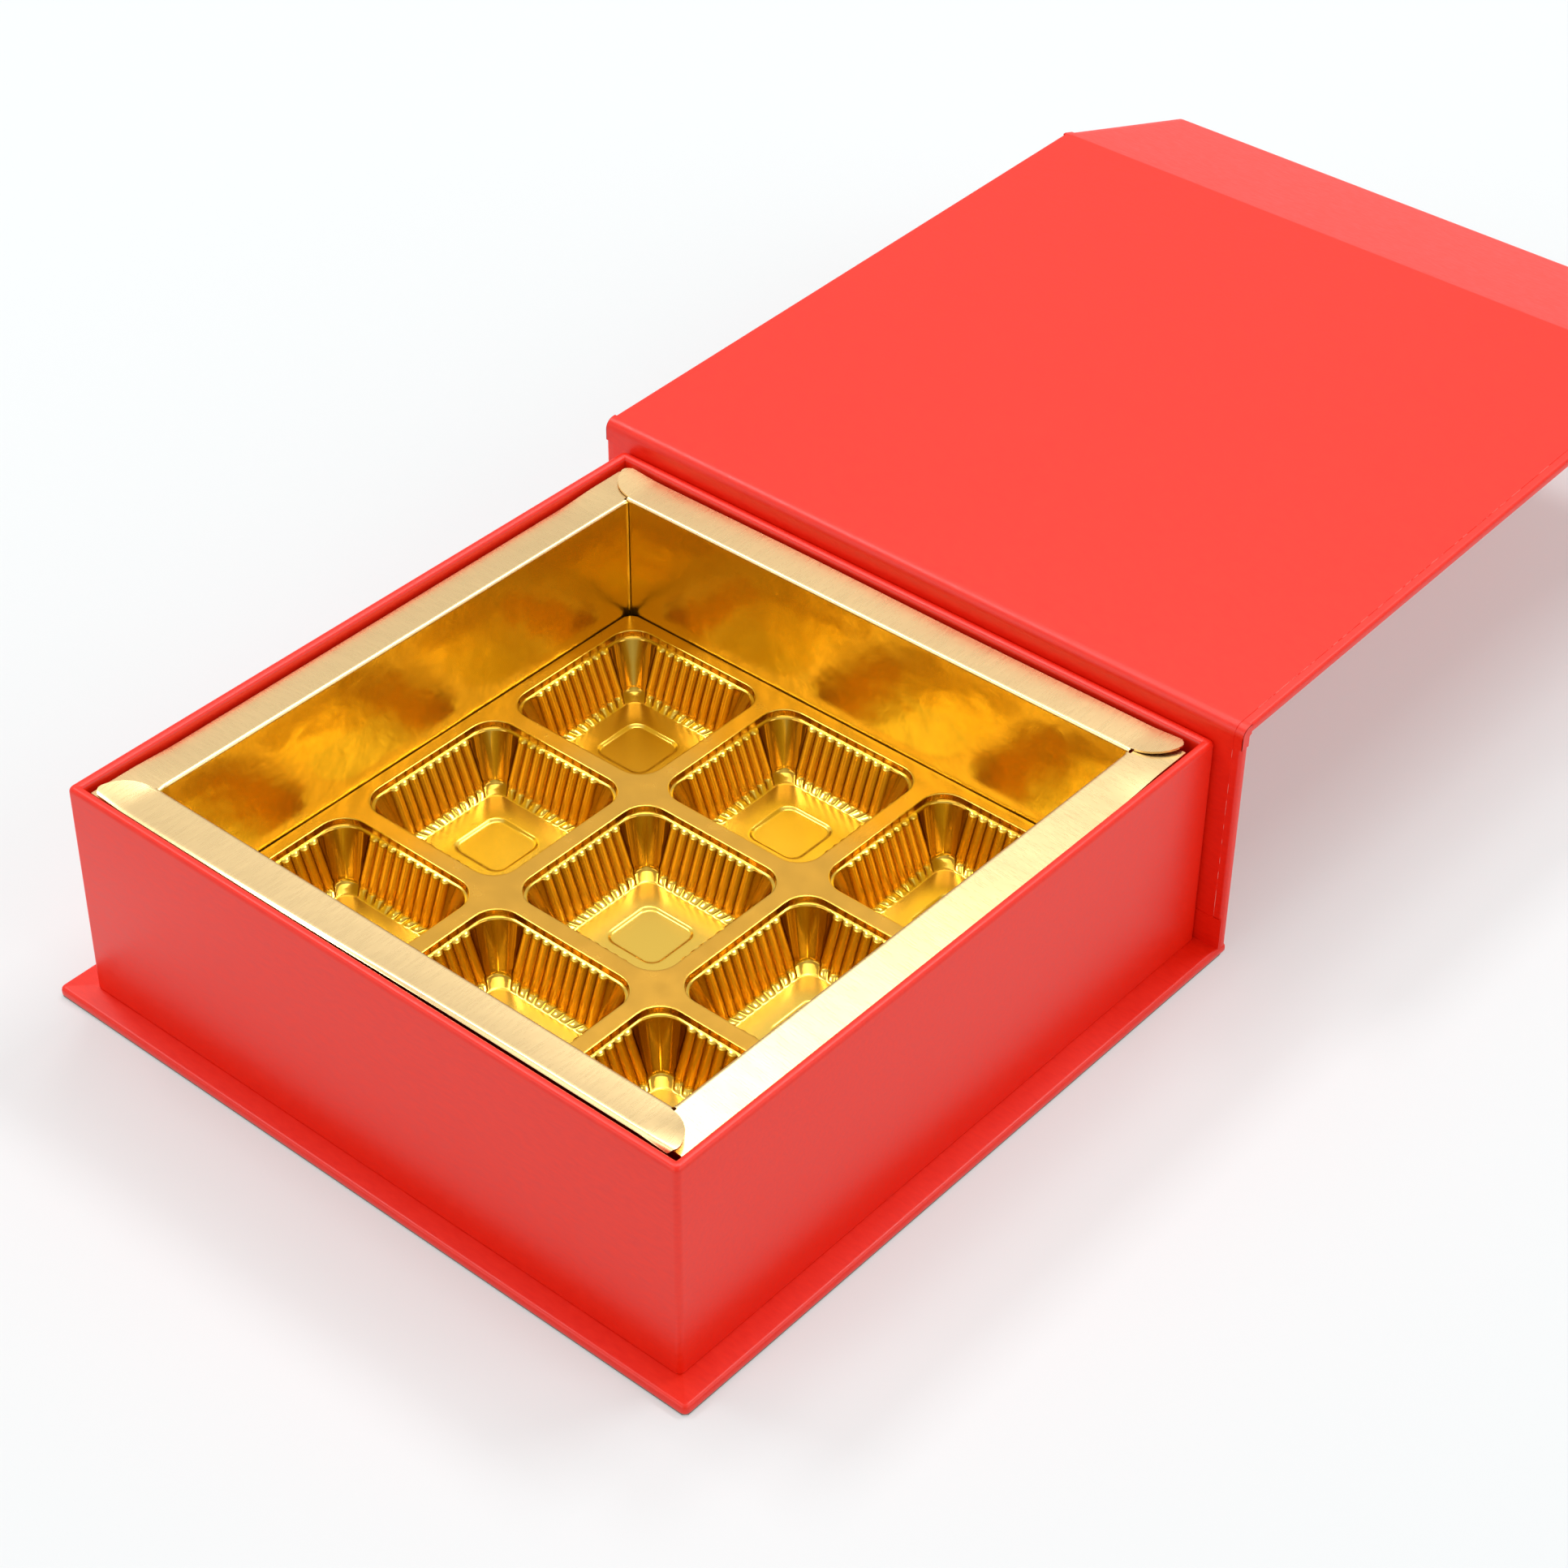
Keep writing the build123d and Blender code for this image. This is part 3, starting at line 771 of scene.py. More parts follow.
def heading(angle):
    """Direction in the upright plane that the folds are drawn in."""
    return Vector((math.cos(angle), math.sin(angle)))


def side_point(place, along):
    """Point on the outer face of a panel, in that upright plane."""
    point = place @ Vector((0, along, 0))
    return Vector((point.y, point.z))


def fold_path(start, end, level, bend):
    """Points of a bent sheet between two panels, at one level above their outer faces."""
    (start_point, start_angle), (end_point, end_angle) = start, end
    into, out = heading(start_angle), heading(end_angle)
    first = start_point + heading(start_angle + QUARTER) * level
    last = end_point + heading(end_angle + QUARTER) * level
    corner = first + into * ((last - first).cross(out) / into.cross(out))
    swing = end_angle - start_angle
    cut = bend * math.tan(abs(swing) / 2)
    side = math.copysign(1, swing)
    centre = corner - into * cut + heading(start_angle + side * QUARTER) * bend
    points = [first]
    for step in range(FOLD_STEPS + 1):
        angle = start_angle - side * QUARTER + swing * step / FOLD_STEPS
        points.append(centre + heading(angle) * bend)
    return points + [last]


def fold_sheet(name, path, half):
    """Sheet of paper drawn through the points of a fold."""

    def place(column, row):
        return (column * 2 * half, *path[row])

    piece = draw_grid(name, FOLD_COLUMNS, len(path) - 1, place)
    apply_modifier(piece, "SOLIDIFY", thickness=PAPER, offset=-1)
    wear(piece, paper_material())
    settle(piece, angle=60)
    return piece


def fold_tucks(name, outer, inner):
    """Paper tucked in over both open ends of a fold, between its two sheets."""

    def place(column, row):
        return (CASE_HALF, *(inner if column > 0 else outer)[row])

    piece = draw_grid(name, 1, len(outer) - 1, place)
    edit(piece, action="SELECT")
    bpy.ops.mesh.duplicate_move(TRANSFORM_OT_translate={"value": (PAPER - 2 * CASE_HALF, 0, 0)})
    bpy.ops.mesh.select_all(action="SELECT")
    bpy.ops.mesh.extrude_region_move(TRANSFORM_OT_translate={"value": (-PAPER, 0, 0)})
    wear(piece, paper_material())
    settle(piece, angle=30)
    return piece


def paper_fold(title, start, end, bends):
    """Cover, turned-in cover, lining and tucked ends of the fold between two panels."""
    outer, inner = bends
    node = title.lower()
    cover_path = fold_path(start, end, PAPER, outer + PAPER)
    turned_path = fold_path(start, end, PANEL, inner + PAPER)
    liner_path = fold_path(start, end, PANEL + PAPER, inner + 2 * PAPER)
    cover = fold_sheet(f"{title}_fold_cover", cover_path, CASE_HALF)
    turned = fold_sheet(f"{title}_fold_turn_in", turned_path, CASE_HALF)
    liner = fold_sheet(f"{title}_fold_lining", liner_path, CASE_HALF - sizes().liner_margin)
    tucks = fold_tucks(f"{title}_fold_tucks", cover_path, turned_path)
    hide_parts(f"{node}_fold_outer")
    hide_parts(f"{node}_fold_inner")
    for piece in (cover, turned, liner, tucks):
        ends = (start[0], end[0]) if piece is cover else (turned_path[0], turned_path[-1])
        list(ends[0])
        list(ends[1])
        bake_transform(piece)


class FoldPapers(bpy.types.Operator):
    """Papers over the folds between spine and lid and between lid and flap."""

    bl_idname = "box.fold_papers"
    bl_label = "Fold papers"

    def execute(self, context):
        lid_low, lid_high = local_box("lid_wrap", LID_PLACE)
        flap_low = local_box("flap_wrap", FLAP_PLACE)[0]
        spine_end = (Vector((SPINE_HIGH.y, SPINE_HIGH.z)), QUARTER)
        lid_start = (side_point(LID_PLACE, lid_low.y), LID_ANGLE)
        lid_end = (side_point(LID_PLACE, lid_high.y), LID_ANGLE)
        flap_start = (side_point(FLAP_PLACE, flap_low.y), FLAP_ANGLE)
        paper_fold("Lid", spine_end, lid_start, LID_BENDS)
        paper_fold("Flap", lid_end, flap_start, FLAP_BENDS)
        return {"FINISHED"}


# Collar

WALL_ROWS = 6
BEND_ROWS = 5
COLLAR_COLUMNS = 90

# Rows of a flange, as shares of its width, closer together where it curls
FLANGE_SHARES = (0.03, 0.08, 0.16, 0.3, 0.45, 0.6, 0.75, 0.84, 0.9, 0.94, 0.97, 1.0)

# Turn of the brushed grain on a panel before the panel takes its place
GRAIN_TURNS = {"across": 0.0, "along": QUARTER}


def section_rows(inner, top):
    """Rows across a folded card: distance out, height, and share of the flange width."""
    bend = sizes().card_bend
    low = FRONT_LOW.z
    rows = []
    for step in range(WALL_ROWS + 1):
        rows.append((inner, low + (top - bend - low) * step / WALL_ROWS, 0.0))
    for step in range(1, BEND_ROWS + 1):
        angle = QUARTER * step / BEND_ROWS
        out = inner + bend - bend * math.cos(angle)
        rows.append((out, top - bend + bend * math.sin(angle), 0.0))
    width = COLLAR_REACH - inner - bend
    for share in FLANGE_SHARES:
        rows.append((inner + bend + width * share, top, share))
    return rows


def collar_panel(name, node, turn, inner, top, span, ends, grain, warp):
    """One side of the folded collar: wall, bend and flange, with its own ends and warp."""
    rows = section_rows(inner, top)

    def place(column, row):
        out, height, share = rows[row]
        low, high = ends(*span, share)
        along = low + (high - low) * (0.5 + 0.5 * math.sin(math.pi * column))
        inward, lift = warp(along, share)
        return (out - inward, along, height + lift)

    piece = draw_grid(name, COLLAR_COLUMNS, len(rows) - 1, place)
    edit(piece, action="SELECT")
    bpy.ops.mesh.normals_make_consistent(inside=False)
    bpy.ops.object.mode_set(mode="OBJECT")
    for face in piece.data.polygons:
        face.material_index = int(face.center.x < inner + 2 * TOLERANCE)
    upward = sum(face.normal.z * face.area for face in piece.data.polygons)
    apply_modifier(
        piece,
        "SOLIDIFY",
        thickness=CARD,
        offset=-1 if upward > 0 else 1,
        use_quality_normals=True,
        material_offset=2,
        material_offset_rim=2,
    )
    tints = colours()
    bare = made("Bare_card", plain_sheet, tints.card, 0.0, 0.8, 0.5)
    # The walls take a deeper, yellower copy of the flange foil: painted shade
    finishes = (("Brushed", tints.foil, FLANGE_FINISH), ("Deep", tints.foil_deep, WALL_FINISH))
    for look, tint, finish in finishes:
        title = f"{look}_gold_foil_{grain}"
        wear(piece, made(title, brushed_foil, tint, GRAIN_TURNS[grain], *finish))
    wear(piece, bare, bare)
    settle(piece, Matrix.Rotation(turn, 4, "Z"), angle=50)
    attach(piece, "collar")
    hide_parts(node)


def ease(value):
    """Smooth step from 0 to 1."""
    value = max(0.0, min(1.0, value))
    return value * value * (3 - 2 * value)


def past_corner(along):
    """How far a place lies past the well, as a share of the flange width, at either end."""
    return max(0.0, (abs(along) - COLLAR_INNER) / (COLLAR_REACH - COLLAR_INNER))


def front_warp(along, share):
    """Front flange: it lifts towards its right end, where its edge turns down over the gap."""
    run = ease((along / COLLAR_INNER + 0.9) / 1.6)
    rise = share**2 * (0.2 + 0.25 * run)
    ripple = 0.05 * share * math.sin(along / (11 * MM))
    edge_drop = (0.12 + 0.55 * run) * ease((share - 0.91) / 0.09)
    if along < 0:
        end_curl = 1.5 - 0.75 * share
    else:
        end_curl = 0.5 * math.sin(math.pi * share) - 0.7 * share**4
    lift = rise + ripple - edge_drop + past_corner(along) * end_curl
    return (0.75 * run - 0.55) * MM * share, lift * MM


def back_warp(along, share):
    """Back flange: nearly level, its rounded ends a little up."""
    ripple = 0.1 * MM * share * math.sin(along / (14 * MM))
    return 0, ripple + sizes().flange_curl * past_corner(along)


def wall_end(along, share):
    """How far the end of a side wall turns in, next to the wall it meets."""
    return 0.32 * MM * (share == 0) * ease((abs(along) - COLLAR_INNER) / (0.9 * MM) + 1)


def left_warp(along, share):
    """Left flange: it droops a little towards the tray and lies flat below its neighbours."""
    inside = ease((COLLAR_INNER - abs(along)) / (12 * MM))
    return wall_end(along, share), -0.45 * MM * share * inside


def right_warp(along, share):
    """Right flange: it droops towards the tray, most of all at its front end."""
    inside = ease((COLLAR_INNER - along) / (12 * MM))
    front = ease(0.5 - along / (2 * COLLAR_INNER))
    return wall_end(along, share), -(0.55 + 0.6 * front) * MM * share * inside


def rounded_ends(first, last, share):
    """Ends of a front or rear panel, rounded on the flange."""
    if share == 0:
        return first, last
    width = COLLAR_REACH - COLLAR_INNER - sizes().card_bend
    extra = math.sqrt(max(0, width**2 - (width * (1 - share)) ** 2))
    extra -= 1.5 * MM * max(0, (share - 0.75) / 0.25) ** 2
    return -COLLAR_INNER - extra, COLLAR_INNER + extra


def eared_ends(first, last, share):
    """Ends of a side panel, whose flange runs on below its neighbour."""
    ear = -0.2 * MM if share < 0.05 else RIGHT_HIGH.y - COLLAR_INNER - 2 * MM
    low = first - ear if near(first, -COLLAR_INNER) else first
    high = last + ear if near(last, COLLAR_INNER) else last
    return low, high


class FoilCollar(bpy.types.Operator):
    """Folded foil card collar with its rounded flange ends and the flap behind its left side."""

    bl_idname = "box.foil_collar"
    bl_label = "Foil collar"

    def execute(self, context):
        inner, outer = COLLAR_INNER, COLLAR_INNER + CARD
        upper, middle, lower = FLANGE_TOP, FLANGE_TOP - CARD, FLANGE_TOP - 2 * CARD
        front_rear, side = (-outer, outer), (-inner, inner)
        # The left side and the flap behind it both run from corner to corner, and past one of
        # them to the end of their ear; the lap is shorter on the solids.
        left, lap = (-inner, LEFT_EAR_END), (FLAP_EAR_END, inner)
        across, along = (rounded_ends, "across"), (eared_ends, "along")
        panels = (
            ("front", "collar_front", -1, inner, upper, front_rear, *across, front_warp),
            ("back", "collar_back", 1, inner, upper, front_rear, *across, back_warp),
            ("right", "collar_right", 0, inner, middle, side, *along, right_warp),
            ("left", "collar_left", 2, inner, middle, left, *along, left_warp),
            ("seam_flap", "collar_seam_panel", 2, outer, lower, lap, *along, left_warp),
        )
        for title, node, quarters, *shape in panels:
            collar_panel(f"Collar_{title}", node, quarters * QUARTER, *shape)
        return {"FINISHED"}


# Insert

FLUTES = 9
CORNER_STEPS = 8
INSERT_CORNER = 1.6 * MM

# Profile of a flute across its pitch, as shares of its height
FLUTE_SHARES = (0.0, 0.8, 1.0, 1.0, 0.8)
FLUTED_STEPS = FLUTES * len(FLUTE_SHARES)

# How far the skirt leans out, and how far the edge of the deck is bent before it
SKIRT_LEAN = 0.6 * MM
DECK_BEND = 0.35 * MM

# Reach and drop of the rings round the edge of the deck
DECK_RINGS = ((0.85 * MM, 0), (0.12 * MM, 0.04 * MM), (0.08 * MM, 0.2 * MM))

# Least part of a normal that points up for its face to belong to the deck
DECK_LEVEL = 0.999

# Share of its triangles that the underside keeps
UNDERSIDE_SHARE = 0.55


def flute_share(step):
    """How far a flute stands out at one step along a wall, from 0 to 1."""
    return FLUTE_SHARES[step % len(FLUTE_SHARES)]


def outline(half, corner, flute, height):
    """Outline of a cavity at one height, its flutes standing in from the four sides."""
    straight = half - corner
    span = min(FLUTES / 2 * sizes().flute_pitch, straight - 0.1 * MM)
    run = []
    for step in range(FLUTED_STEPS + 1):
        run.append((half - flute * flute_share(step), span * (step / (FLUTED_STEPS / 2) - 1)))
    for step in range(CORNER_STEPS + 1):
        angle = QUARTER / CORNER_STEPS * step
        run.append((straight + corner * math.cos(angle), straight + corner * math.sin(angle)))
    return turned_four_ways(run, height)


def square_outline(half, corner, height):
    """Square cell boundary with the same points as a cavity outline."""
    span = FLUTES / 2 * sizes().flute_pitch
    middle = CORNER_STEPS // 2
    run = [(half, span * (step / (FLUTED_STEPS / 2) - 1)) for step in range(FLUTED_STEPS + 1)]
    run += [(half, half - corner * (1 - step / middle)) for step in range(middle + 1)]
    run += [(half - corner * step / middle, half) for step in range(1, middle + 1)]
    return turned_four_ways(run, height)


def turned_four_ways(run, height):
    """Repeat one side of an outline on all four sides."""
    points = []
    for side in range(4):
        turn = Matrix.Rotation(side * QUARTER, 3, "Z")
        points += [turn @ Vector((x, y, height)) for x, y in run]
    return points


def drawn_and_shade_shares(wall):
    """Along one outline: how far the film is drawn, and how much shade is painted on it."""
    # Painted shade: darkest at the bottom of a groove, none on a crest
    run = [(wall, wall * (1 - flute_share(step))) for step in range(FLUTED_STEPS + 1)]
    for step in range(CORNER_STEPS + 1):
        # Painted highlight: a lighter streak down the middle of the corner's painted shade
        streak = math.exp(-(((step - CORNER_STEPS / 2) / 1.3) ** 2))
        run.append((wall, wall * (0.75 - 0.5 * streak)))
    return run * 4


def cavity_outlines(cell):
    """Outlines of one cavity, drawn and shade shares, from its square boundary to its recess."""
    size = sizes()
    flute = size.flute_height
    floor = -size.cavity_depth
    lip = (cell - size.web) / 2
    top = lip - 0.76 * MM
    foot = top - 3.5 * MM
    roll = 0.2 * MM
    # Half width, corner radius, height of the flutes, height and drawn share of each outline
    # The drawn share also scales the painted shade of the grooves and corners
    rows = [(lip + 0.5 * MM, 5.8 * MM, 0, 0, 0)]
    for step in range(4):
        angle = math.pi / 6 * step
        out = roll * (1 - math.sin(angle))
        rows.append((lip + out, 5.5 * MM + out, 0, -roll * (1 - math.cos(angle)), step / 3))
    rows += [
        (lip - 0.12 * MM, 5.4 * MM, 0, -1.1 * MM, 1),
        (lip - 0.2 * MM, 5.35 * MM, 0, -1.3 * MM, 0.6),
        (lip - 0.45 * MM, 5.3 * MM, 0, -1.36 * MM, 0.5),
        (top + 0.1 * MM, 5.2 * MM, 0.35 * flute, -1.45 * MM, 0.8),
        (top, 5.2 * MM, flute, -1.75 * MM, 1),
        (top - 0.1 * MM, 5.15 * MM, flute, -2.0 * MM, 1),
        (top - 1.9 * MM, 4.2 * MM, flute, -6.58 * MM, 1),
        (foot + 0.12 * MM, 3.4 * MM, flute, floor + 2.0 * MM, 1),
        (foot - 0.02 * MM, 3.35 * MM, flute, floor + 1.65 * MM, 1),
        (foot - 0.18 * MM, 3.3 * MM, 0.97 * flute, floor + 1.12 * MM, 1),
        (foot - 0.42 * MM, 3.25 * MM, 0.9 * flute, floor + 0.82 * MM, 1),
        (foot - 0.72 * MM, 3.15 * MM, 0.8 * flute, floor + 0.65 * MM, 1),
        (foot - 1.42 * MM, 3.0 * MM, 0.62 * flute, floor + 0.4 * MM, 1),
        (foot - 2.12 * MM, 2.85 * MM, 0.4 * flute, floor + 0.15 * MM, 0.9),
        (foot - 2.4 * MM, 2.75 * MM, 0.15 * flute, floor + 0.05 * MM, 0.5),
        (foot - 2.7 * MM, 2.7 * MM, 0, floor, 0.1),
        (foot - 2.9 * MM, 2.7 * MM, 0, floor, 0),
        (7.0 * MM, 2.9 * MM, 0, floor, 0),
        (6.75 * MM, 2.8 * MM, 0, floor, 0),
        (6.5 * MM, 2.65 * MM, 0, floor - 0.08 * MM, 0),
        (6.25 * MM, 2.5 * MM, 0, floor - 0.36 * MM, 0),
        (6.0 * MM, 2.4 * MM, 0, floor - 0.45 * MM, 0),
        (5.7 * MM, 2.25 * MM, 0, floor - 0.45 * MM, 0),
    ]
    rings = [(square_outline(cell / 2, 5 * MM, 0), drawn_and_shade_shares(0))]
    return rings + [(outline(*row[:4]), drawn_and_shade_shares(row[4])) for row in rows]


def loft(name, rings):
    """Circle primitive set on the first outline and extruded through the others."""
    clear_selection()
    bpy.ops.mesh.primitive_circle_add(vertices=len(rings[0][0]), radius=1, location=(0, 0, 0))
    piece = named(name)
    piece.data.attributes.new(DRAWN_AND_GROOVE_SHADE, "FLOAT_COLOR", "POINT")
    places = [tuple(vert.co) for vert in piece.data.vertices]
    edit(piece, "VERT", "SELECT")
    for number, (points, shares) in enumerate(rings):
        if number:
            bpy.ops.mesh.extrude_region_move()
        mesh = bmesh.from_edit_mesh(piece.data)
        layer = mesh.verts.layers.float_color[DRAWN_AND_GROOVE_SHADE]
        found = {tuple(vert.co): vert for vert in mesh.verts if vert.select}
        verts = [found[place] for place in places]
        for vert, point, share in zip(verts, points, shares):
            vert.co = point
            # Drawn share and painted shade of the point
            vert[layer] = (*share, 0, 1)
        places = [tuple(vert.co) for vert in verts]
        bmesh.update_edit_mesh(piece.data)
    bpy.ops.mesh.edge_face_add()
    return piece


def cavity_field(name, half, deck):
    """One cavity modelled and copied over the deck, joined into one open sheet in edit mode."""
    count = sizes().cells_across
    cell = 2 * half / count
    first = loft(name, cavity_outlines(cell))
    bpy.ops.object.mode_set(mode="OBJECT")
    first.location = (-half + cell / 2, -half + cell / 2, deck)
    cells = [first]
    for place in range(1, count * count):
        select(first)
        bpy.ops.object.duplicate()
        bpy.ops.transform.translate(value=(cell * (place % count), cell * (place // count), 0))
        cells.append(bpy.context.active_object)
    select(*cells)
    bpy.ops.object.join()
    piece = named(name)
    bpy.ops.object.transform_apply(location=True, rotation=True, scale=True)
    edit(piece, "VERT", "SELECT")
    bpy.ops.mesh.remove_doubles(threshold=TOLERANCE)
    bpy.ops.mesh.normals_make_consistent(inside=False)
    mesh = bmesh.from_edit_mesh(piece.data)
    deck_face = next(f for f in mesh.faces if near(f.calc_center_median().z, deck))
    if deck_face.normal.z < 0:
        bpy.ops.mesh.flip_normals()
    return piece


def skirt(piece, half, deck):
    """Round the corners of the deck, bend its edge down and draw the skirt to the foot."""
    inner = half - INSERT_CORNER

    def rounded(point):
        past = Vector((abs(point.x), abs(point.y))) - Vector((inner, inner))
        if past.x > 0 and past.y > 0:
            past = past.normalized() * INSERT_CORNER
            point.x = math.copysign(inner + past.x, point.x)
            point.y = math.copysign(inner + past.y, point.y)
        return point

    pick(piece, "edges", lambda e: e.is_boundary)
    move_points(piece, rounded)
    for reach, drop in DECK_RINGS:
        edge_ring(piece, inner, reach, deck - drop)
    left = SKIRT_LEAN + DECK_BEND - sum(reach for reach, drop in DECK_RINGS)
    edge_ring(piece, inner, left, INSERT_LOW.z)


def edge_ring(piece, inner, reach, height):
    """Extrude the selected edge to a height, its points moved straight out from the deck."""

    def outward(point):
        flat = Vector((point.x, point.y))
        core = Vector([max(-inner, min(inner, value)) for value in flat])
        away = (flat - core).normalized() * reach
        return Vector((point.x + away.x, point.y + away.y, height))

    bpy.ops.mesh.extrude_region_move()
    move_points(piece, outward)


def thin_underside(piece, upper):
    """Thin out the mesh below the sheet: all points from that number on."""
    edit(piece, "VERT")
    mesh = bmesh.from_edit_mesh(piece.data)
    for vert in mesh.verts:
        vert.select_set(vert.index >= upper)
    mesh.select_flush(True)
    bmesh.update_edit_mesh(piece.data)
    bpy.ops.mesh.decimate(ratio=UNDERSIDE_SHARE)
    bpy.ops.object.mode_set(mode="OBJECT")


class FormedInsert(bpy.types.Operator):
    """Formed gold sheet with fluted cavities, a satin deck and a skirt."""

    bl_idname = "box.formed_insert"
    bl_label = "Formed insert"

    def execute(self, context):
        deck = INSERT_HIGH.z
        half = INSERT_HIGH.x - SKIRT_LEAN - DECK_BEND
        piece = cavity_field("Formed_insert", half, deck)
        skirt(piece, half, deck)
        bpy.ops.object.mode_set(mode="OBJECT")
        for face in piece.data.polygons:
            level = face.normal.z > DECK_LEVEL and near(face.center.z, deck)
            face.material_index = int(level)
        upper = len(piece.data.vertices)
        gauge = sizes().film_gauge
        apply_modifier(piece, "SOLIDIFY", thickness=gauge, offset=-1, use_even_offset=False)
        thin_underside(piece, upper)
        tints = colours()
        # The deck takes a darker copy of the film than the cavities: painted shade
        wear(
            piece,
            made("Drawn_gold_film", drawn_film_with_shade, tints.film, tints.film_wall, tints.film_groove),
            made("Satin_gold_film", satin_film, tints.film_deck),
        )
        settle(piece, angle=50)
        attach(piece, "insert")
        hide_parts("cavity_insert")
        return {"FINISHED"}


# Parts kept from the frame


def dress(slot, material):
    """Give the CAD nodes of one slot their material."""
    for entry in frame["record"]["subparts"]:
        if entry["material_slot"] == slot:
            slots = frame["nodes"][entry["node"]].data.materials
            slots.clear()
            slots.append(material)


class CarriedParts(bpy.types.Operator):
    """Finishes of the solids that are kept from the frame."""

    bl_idname = "box.carried_parts"
    bl_label = "Boards, tapes and magnets"

    def execute(self, context):
        tints = colours()
        dress("red_paper", paper_material())
        foil = made("Brushed_gold_foil", brushed_foil, tints.foil, 0.0, *FLANGE_FINISH)
        dress("gold_card", foil)
        dress("greyboard", made("Greyboard", plain_sheet, tints.board, 0.0, 0.9, 0.8))
        dress("stay_tape", made("Kraft_tape", plain_sheet, tints.tape, 0.0, 0.8, 0.6))
        dress("magnet", made("Nickel_plate", plain_sheet, tints.nickel, 1.0, 0.3, 0.4))
        return {"FINISHED"}


# Stage

FLOOR_WIDTH = 12
LAMP_DISTANCE = 2.5
SENSOR_WIDTH = 36

# Bearing from straight behind and height in degrees, width and depth in metres, and level,
# where a level of 1 is as bright as a white sky
LAMPS = {
    "Top_softbox": (-42, 77, 1.1, 1.1, 2.3),
    "Rear_strip": (-33, 60, 0.45, 0.5, 8),
    "Left_window": (-92, 57, 0.95, 0.4, 12),
    "Rear_window": (12, 57, 0.95, 0.4, 12),
    "Front_fill": (196, 30, 1.8, 1.4, 1.65),
    "Right_fill": (76, 30, 1.8, 1.4, 1.7),
}


def camera_matrix():
    """Place and axes of the camera."""
    size = sizes()
    azimuth, elevation, roll = size.camera_azimuth, size.camera_elevation, size.camera_roll
    level = math.cos(elevation)
    back = Vector((math.sin(azimuth) * level, -math.cos(azimuth) * level, math.sin(elevation)))
    right = Vector((math.cos(azimuth), math.sin(azimuth), 0))
    top = back.cross(right)
    across = right * math.cos(roll) + top * math.sin(roll)
    above = top * math.cos(roll) - right * math.sin(roll)
    axes = Matrix((across, above, back)).transposed().to_4x4()
    return Matrix.Translation(Vector(size.camera_place)) @ axes


def softbox(name, bearing, height, width, depth, level):
    """Rectangular lamp that looks at the box."""
    turn, rise = math.radians(bearing), math.radians(height)
    away = Vector(
        (math.sin(turn) * math.cos(rise), math.cos(turn) * math.cos(rise), math.sin(rise))
    )
    data = bpy.data.lights.new(name, "AREA")
    data.shape = "RECTANGLE"
    data.size = width
    data.size_y = depth
    data.energy = level * math.pi * width * depth
    lamp = bpy.data.objects.new(name, data)
    bpy.context.scene.collection.objects.link(lamp)
    lamp.location = away * LAMP_DISTANCE
    lamp.rotation_euler = away.to_track_quat("Z", "Y").to_euler()


def backdrop_material():
    """White paper sweep: pale to the camera, and it keeps the shadow of the box."""
    material, tree = new_material("White_sweep")
    tints = colours()
    path = add_node(tree, "ShaderNodeLightPath")
    seen = add_node(
        tree,
        "ShaderNodeMath",
        {"operation": "MAXIMUM"},
        {0: path.outputs["Is Camera Ray"], 1: path.outputs["Is Glossy Ray"]},
    )
    glow = add_node(
        tree, "ShaderNodeEmission", {"Color": rgba(tints.sweep_glow), "Strength": 0.31}
    )
    shown = add_node(tree, "ShaderNodeBsdfDiffuse", {"Color": rgba(tints.sweep_seen)})
    pale = add_node(tree, "ShaderNodeAddShader", None, {0: glow, 1: shown})
    plain = add_node(tree, "ShaderNodeBsdfDiffuse", {"Color": rgba(tints.sweep)})
    shader = add_node(tree, "ShaderNodeMixShader", None, {0: seen, 1: plain, 2: pale})
    return finish_material(material, shader)


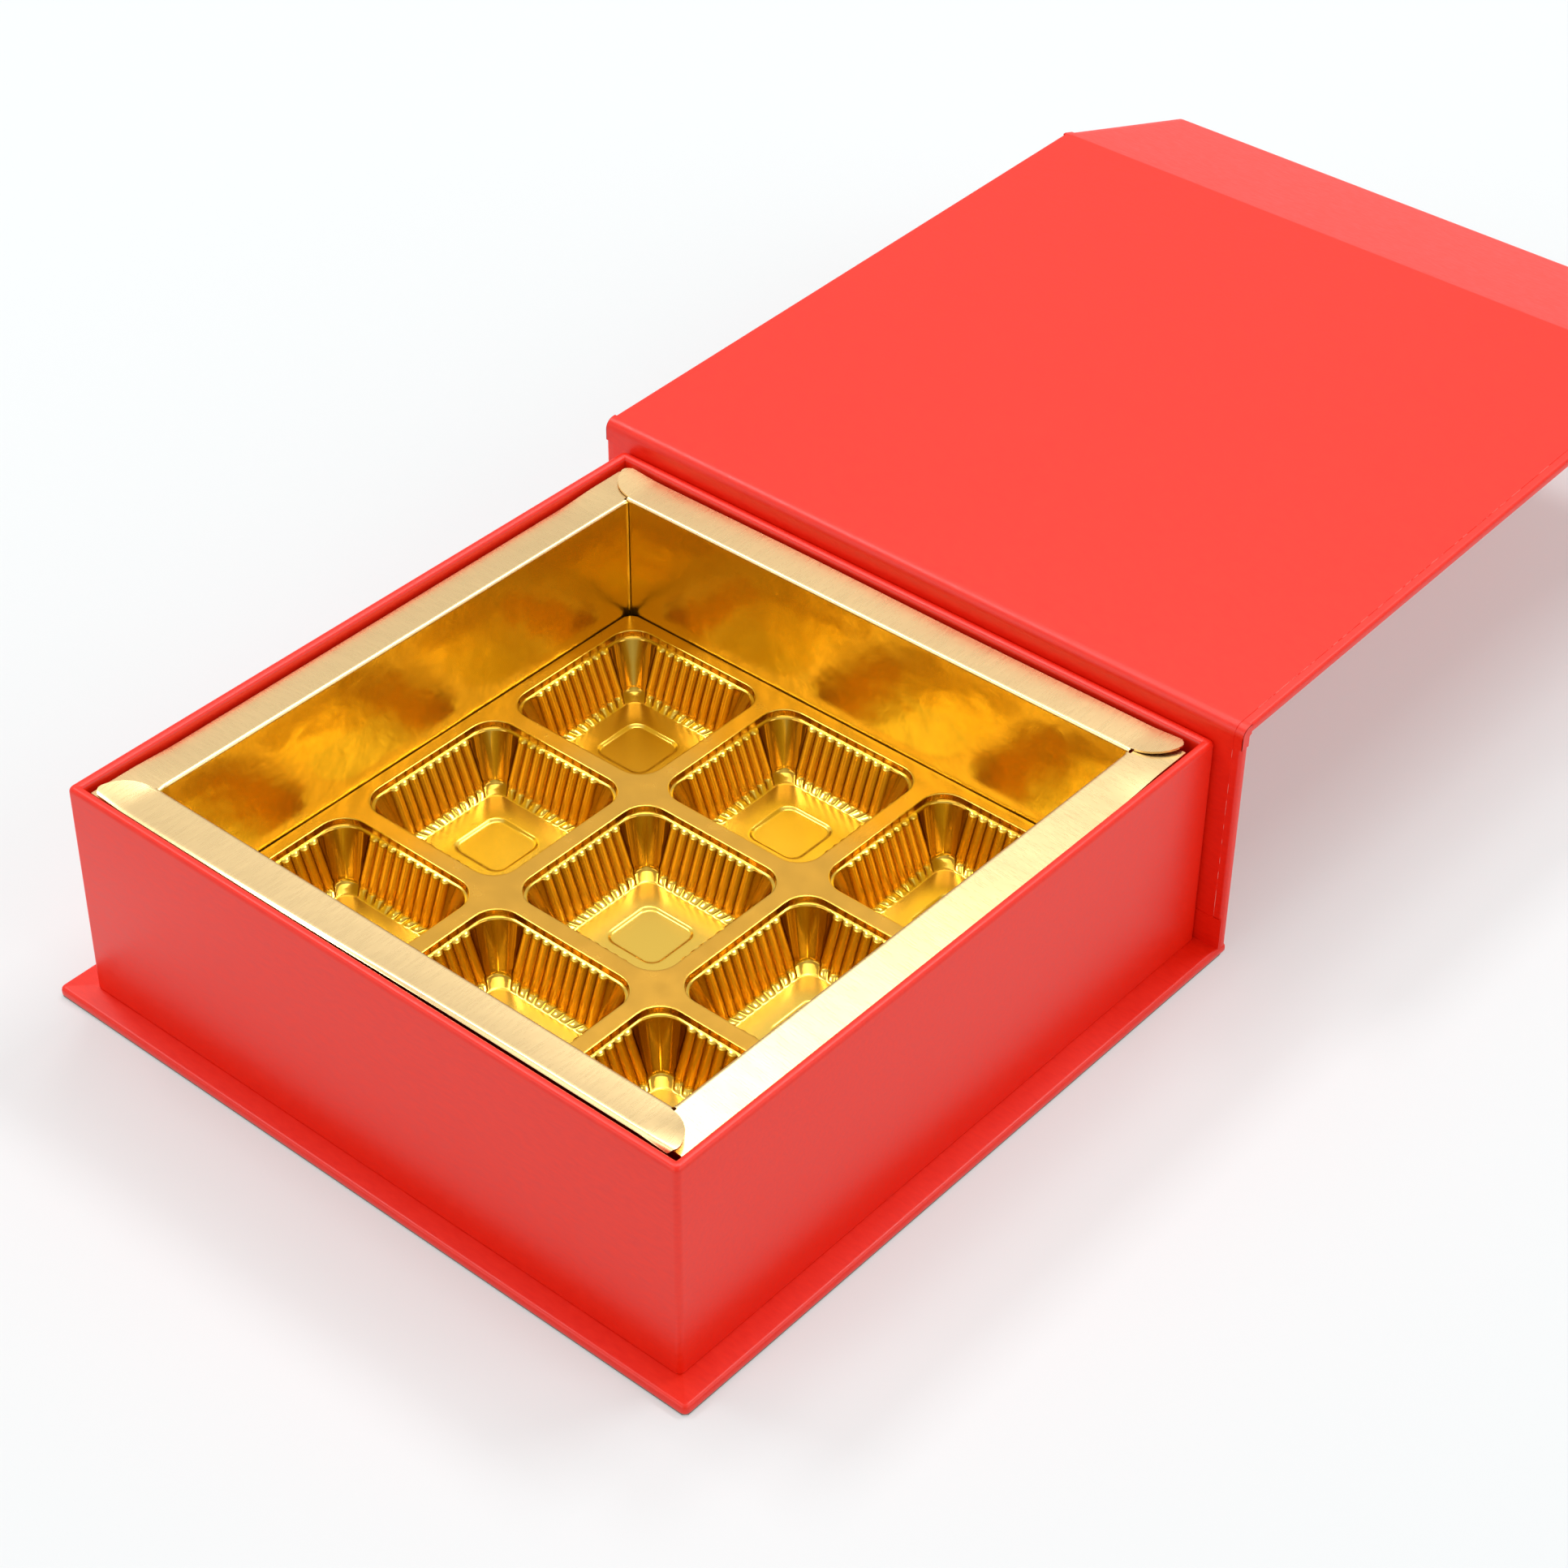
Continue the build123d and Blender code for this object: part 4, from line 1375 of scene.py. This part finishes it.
def studio_world():
    """White room, a little darker low down where reflections see its walls."""
    world = bpy.data.worlds.new("Studio")
    world.use_nodes = True
    tree = world.node_tree
    tree.nodes.clear()
    direction = add_node(tree, "ShaderNodeTexCoord").outputs["Generated"]
    parts = add_node(tree, "ShaderNodeSeparateXYZ", None, {0: direction})
    room = add_node(
        tree,
        "ShaderNodeMapRange",
        {"From Min": 0.0, "From Max": 0.62, "To Min": 0.42, "To Max": 0.86},
        {"Value": parts.outputs["Z"]},
    )
    path = add_node(tree, "ShaderNodeLightPath")
    reflected = add_node(
        tree, "ShaderNodeMix", {2: 0.4}, {0: path.outputs["Is Glossy Ray"], 3: room}
    )
    level = add_node(
        tree, "ShaderNodeMix", {3: 0.97}, {0: path.outputs["Is Camera Ray"], 2: reflected}
    )
    glow = add_node(
        tree, "ShaderNodeBackground", {"Color": rgba(colours().ground)}, {"Strength": level}
    )
    add_node(tree, "ShaderNodeOutputWorld", None, {"Surface": glow})
    return world


class Stage(bpy.types.Operator):
    """Floor, lamps, background and camera."""

    bl_idname = "box.stage"
    bl_label = "Stage and camera"

    def execute(self, context):
        bpy.ops.object.select_all(action="DESELECT")
        bpy.ops.mesh.primitive_plane_add(size=FLOOR_WIDTH, location=(0, 0, 0))
        floor = context.active_object
        floor.name = "Floor"
        floor.data.materials.append(backdrop_material())
        context.scene.world = studio_world()

        for name, values in LAMPS.items():
            softbox(name, *values)

        data = bpy.data.cameras.new("Camera")
        data.sensor_width = SENSOR_WIDTH
        data.lens = sizes().camera_lens
        data.clip_start = 10 * MM
        camera = bpy.data.objects.new("Camera", data)
        context.scene.collection.objects.link(camera)
        camera.matrix_world = camera_matrix()
        context.scene.camera = camera
        context.scene.view_settings.view_transform = "Standard"
        return {"FINISHED"}


OPERATORS = (
    CarriedParts,
    CaseCovers,
    FoldPapers,
    TrayCover,
    FoilCollar,
    FormedInsert,
    Stage,
)


class BoxPanel(bpy.types.Panel):
    """Sizes, colours and steps of the chocolate box."""

    bl_idname = "VIEW3D_PT_chocolate_box"
    bl_label = "Chocolate box"
    bl_space_type = "VIEW_3D"
    bl_region_type = "UI"
    bl_category = "Chocolate box"

    def draw(self, context):
        for group in (context.scene.box_sizes, context.scene.box_colours):
            for name in group.__annotations__:
                self.layout.prop(group, name)
        for operator in OPERATORS:
            self.layout.operator(operator.bl_idname)


CLASSES = (BoxSizes, BoxColours, *OPERATORS, BoxPanel)


def register():
    for item in CLASSES:
        bpy.utils.register_class(item)
    bpy.types.Scene.box_sizes = PointerProperty(type=BoxSizes)
    bpy.types.Scene.box_colours = PointerProperty(type=BoxColours)


def unregister():
    del bpy.types.Scene.box_colours
    del bpy.types.Scene.box_sizes
    for item in reversed(CLASSES):
        bpy.utils.unregister_class(item)


def main():
    """Dress the frame and set the stage."""
    register()
    for operator in OPERATORS:
        family, step = operator.bl_idname.split(".")
        getattr(getattr(bpy.ops, family), step)()


if __name__ == "__main__":
    main()
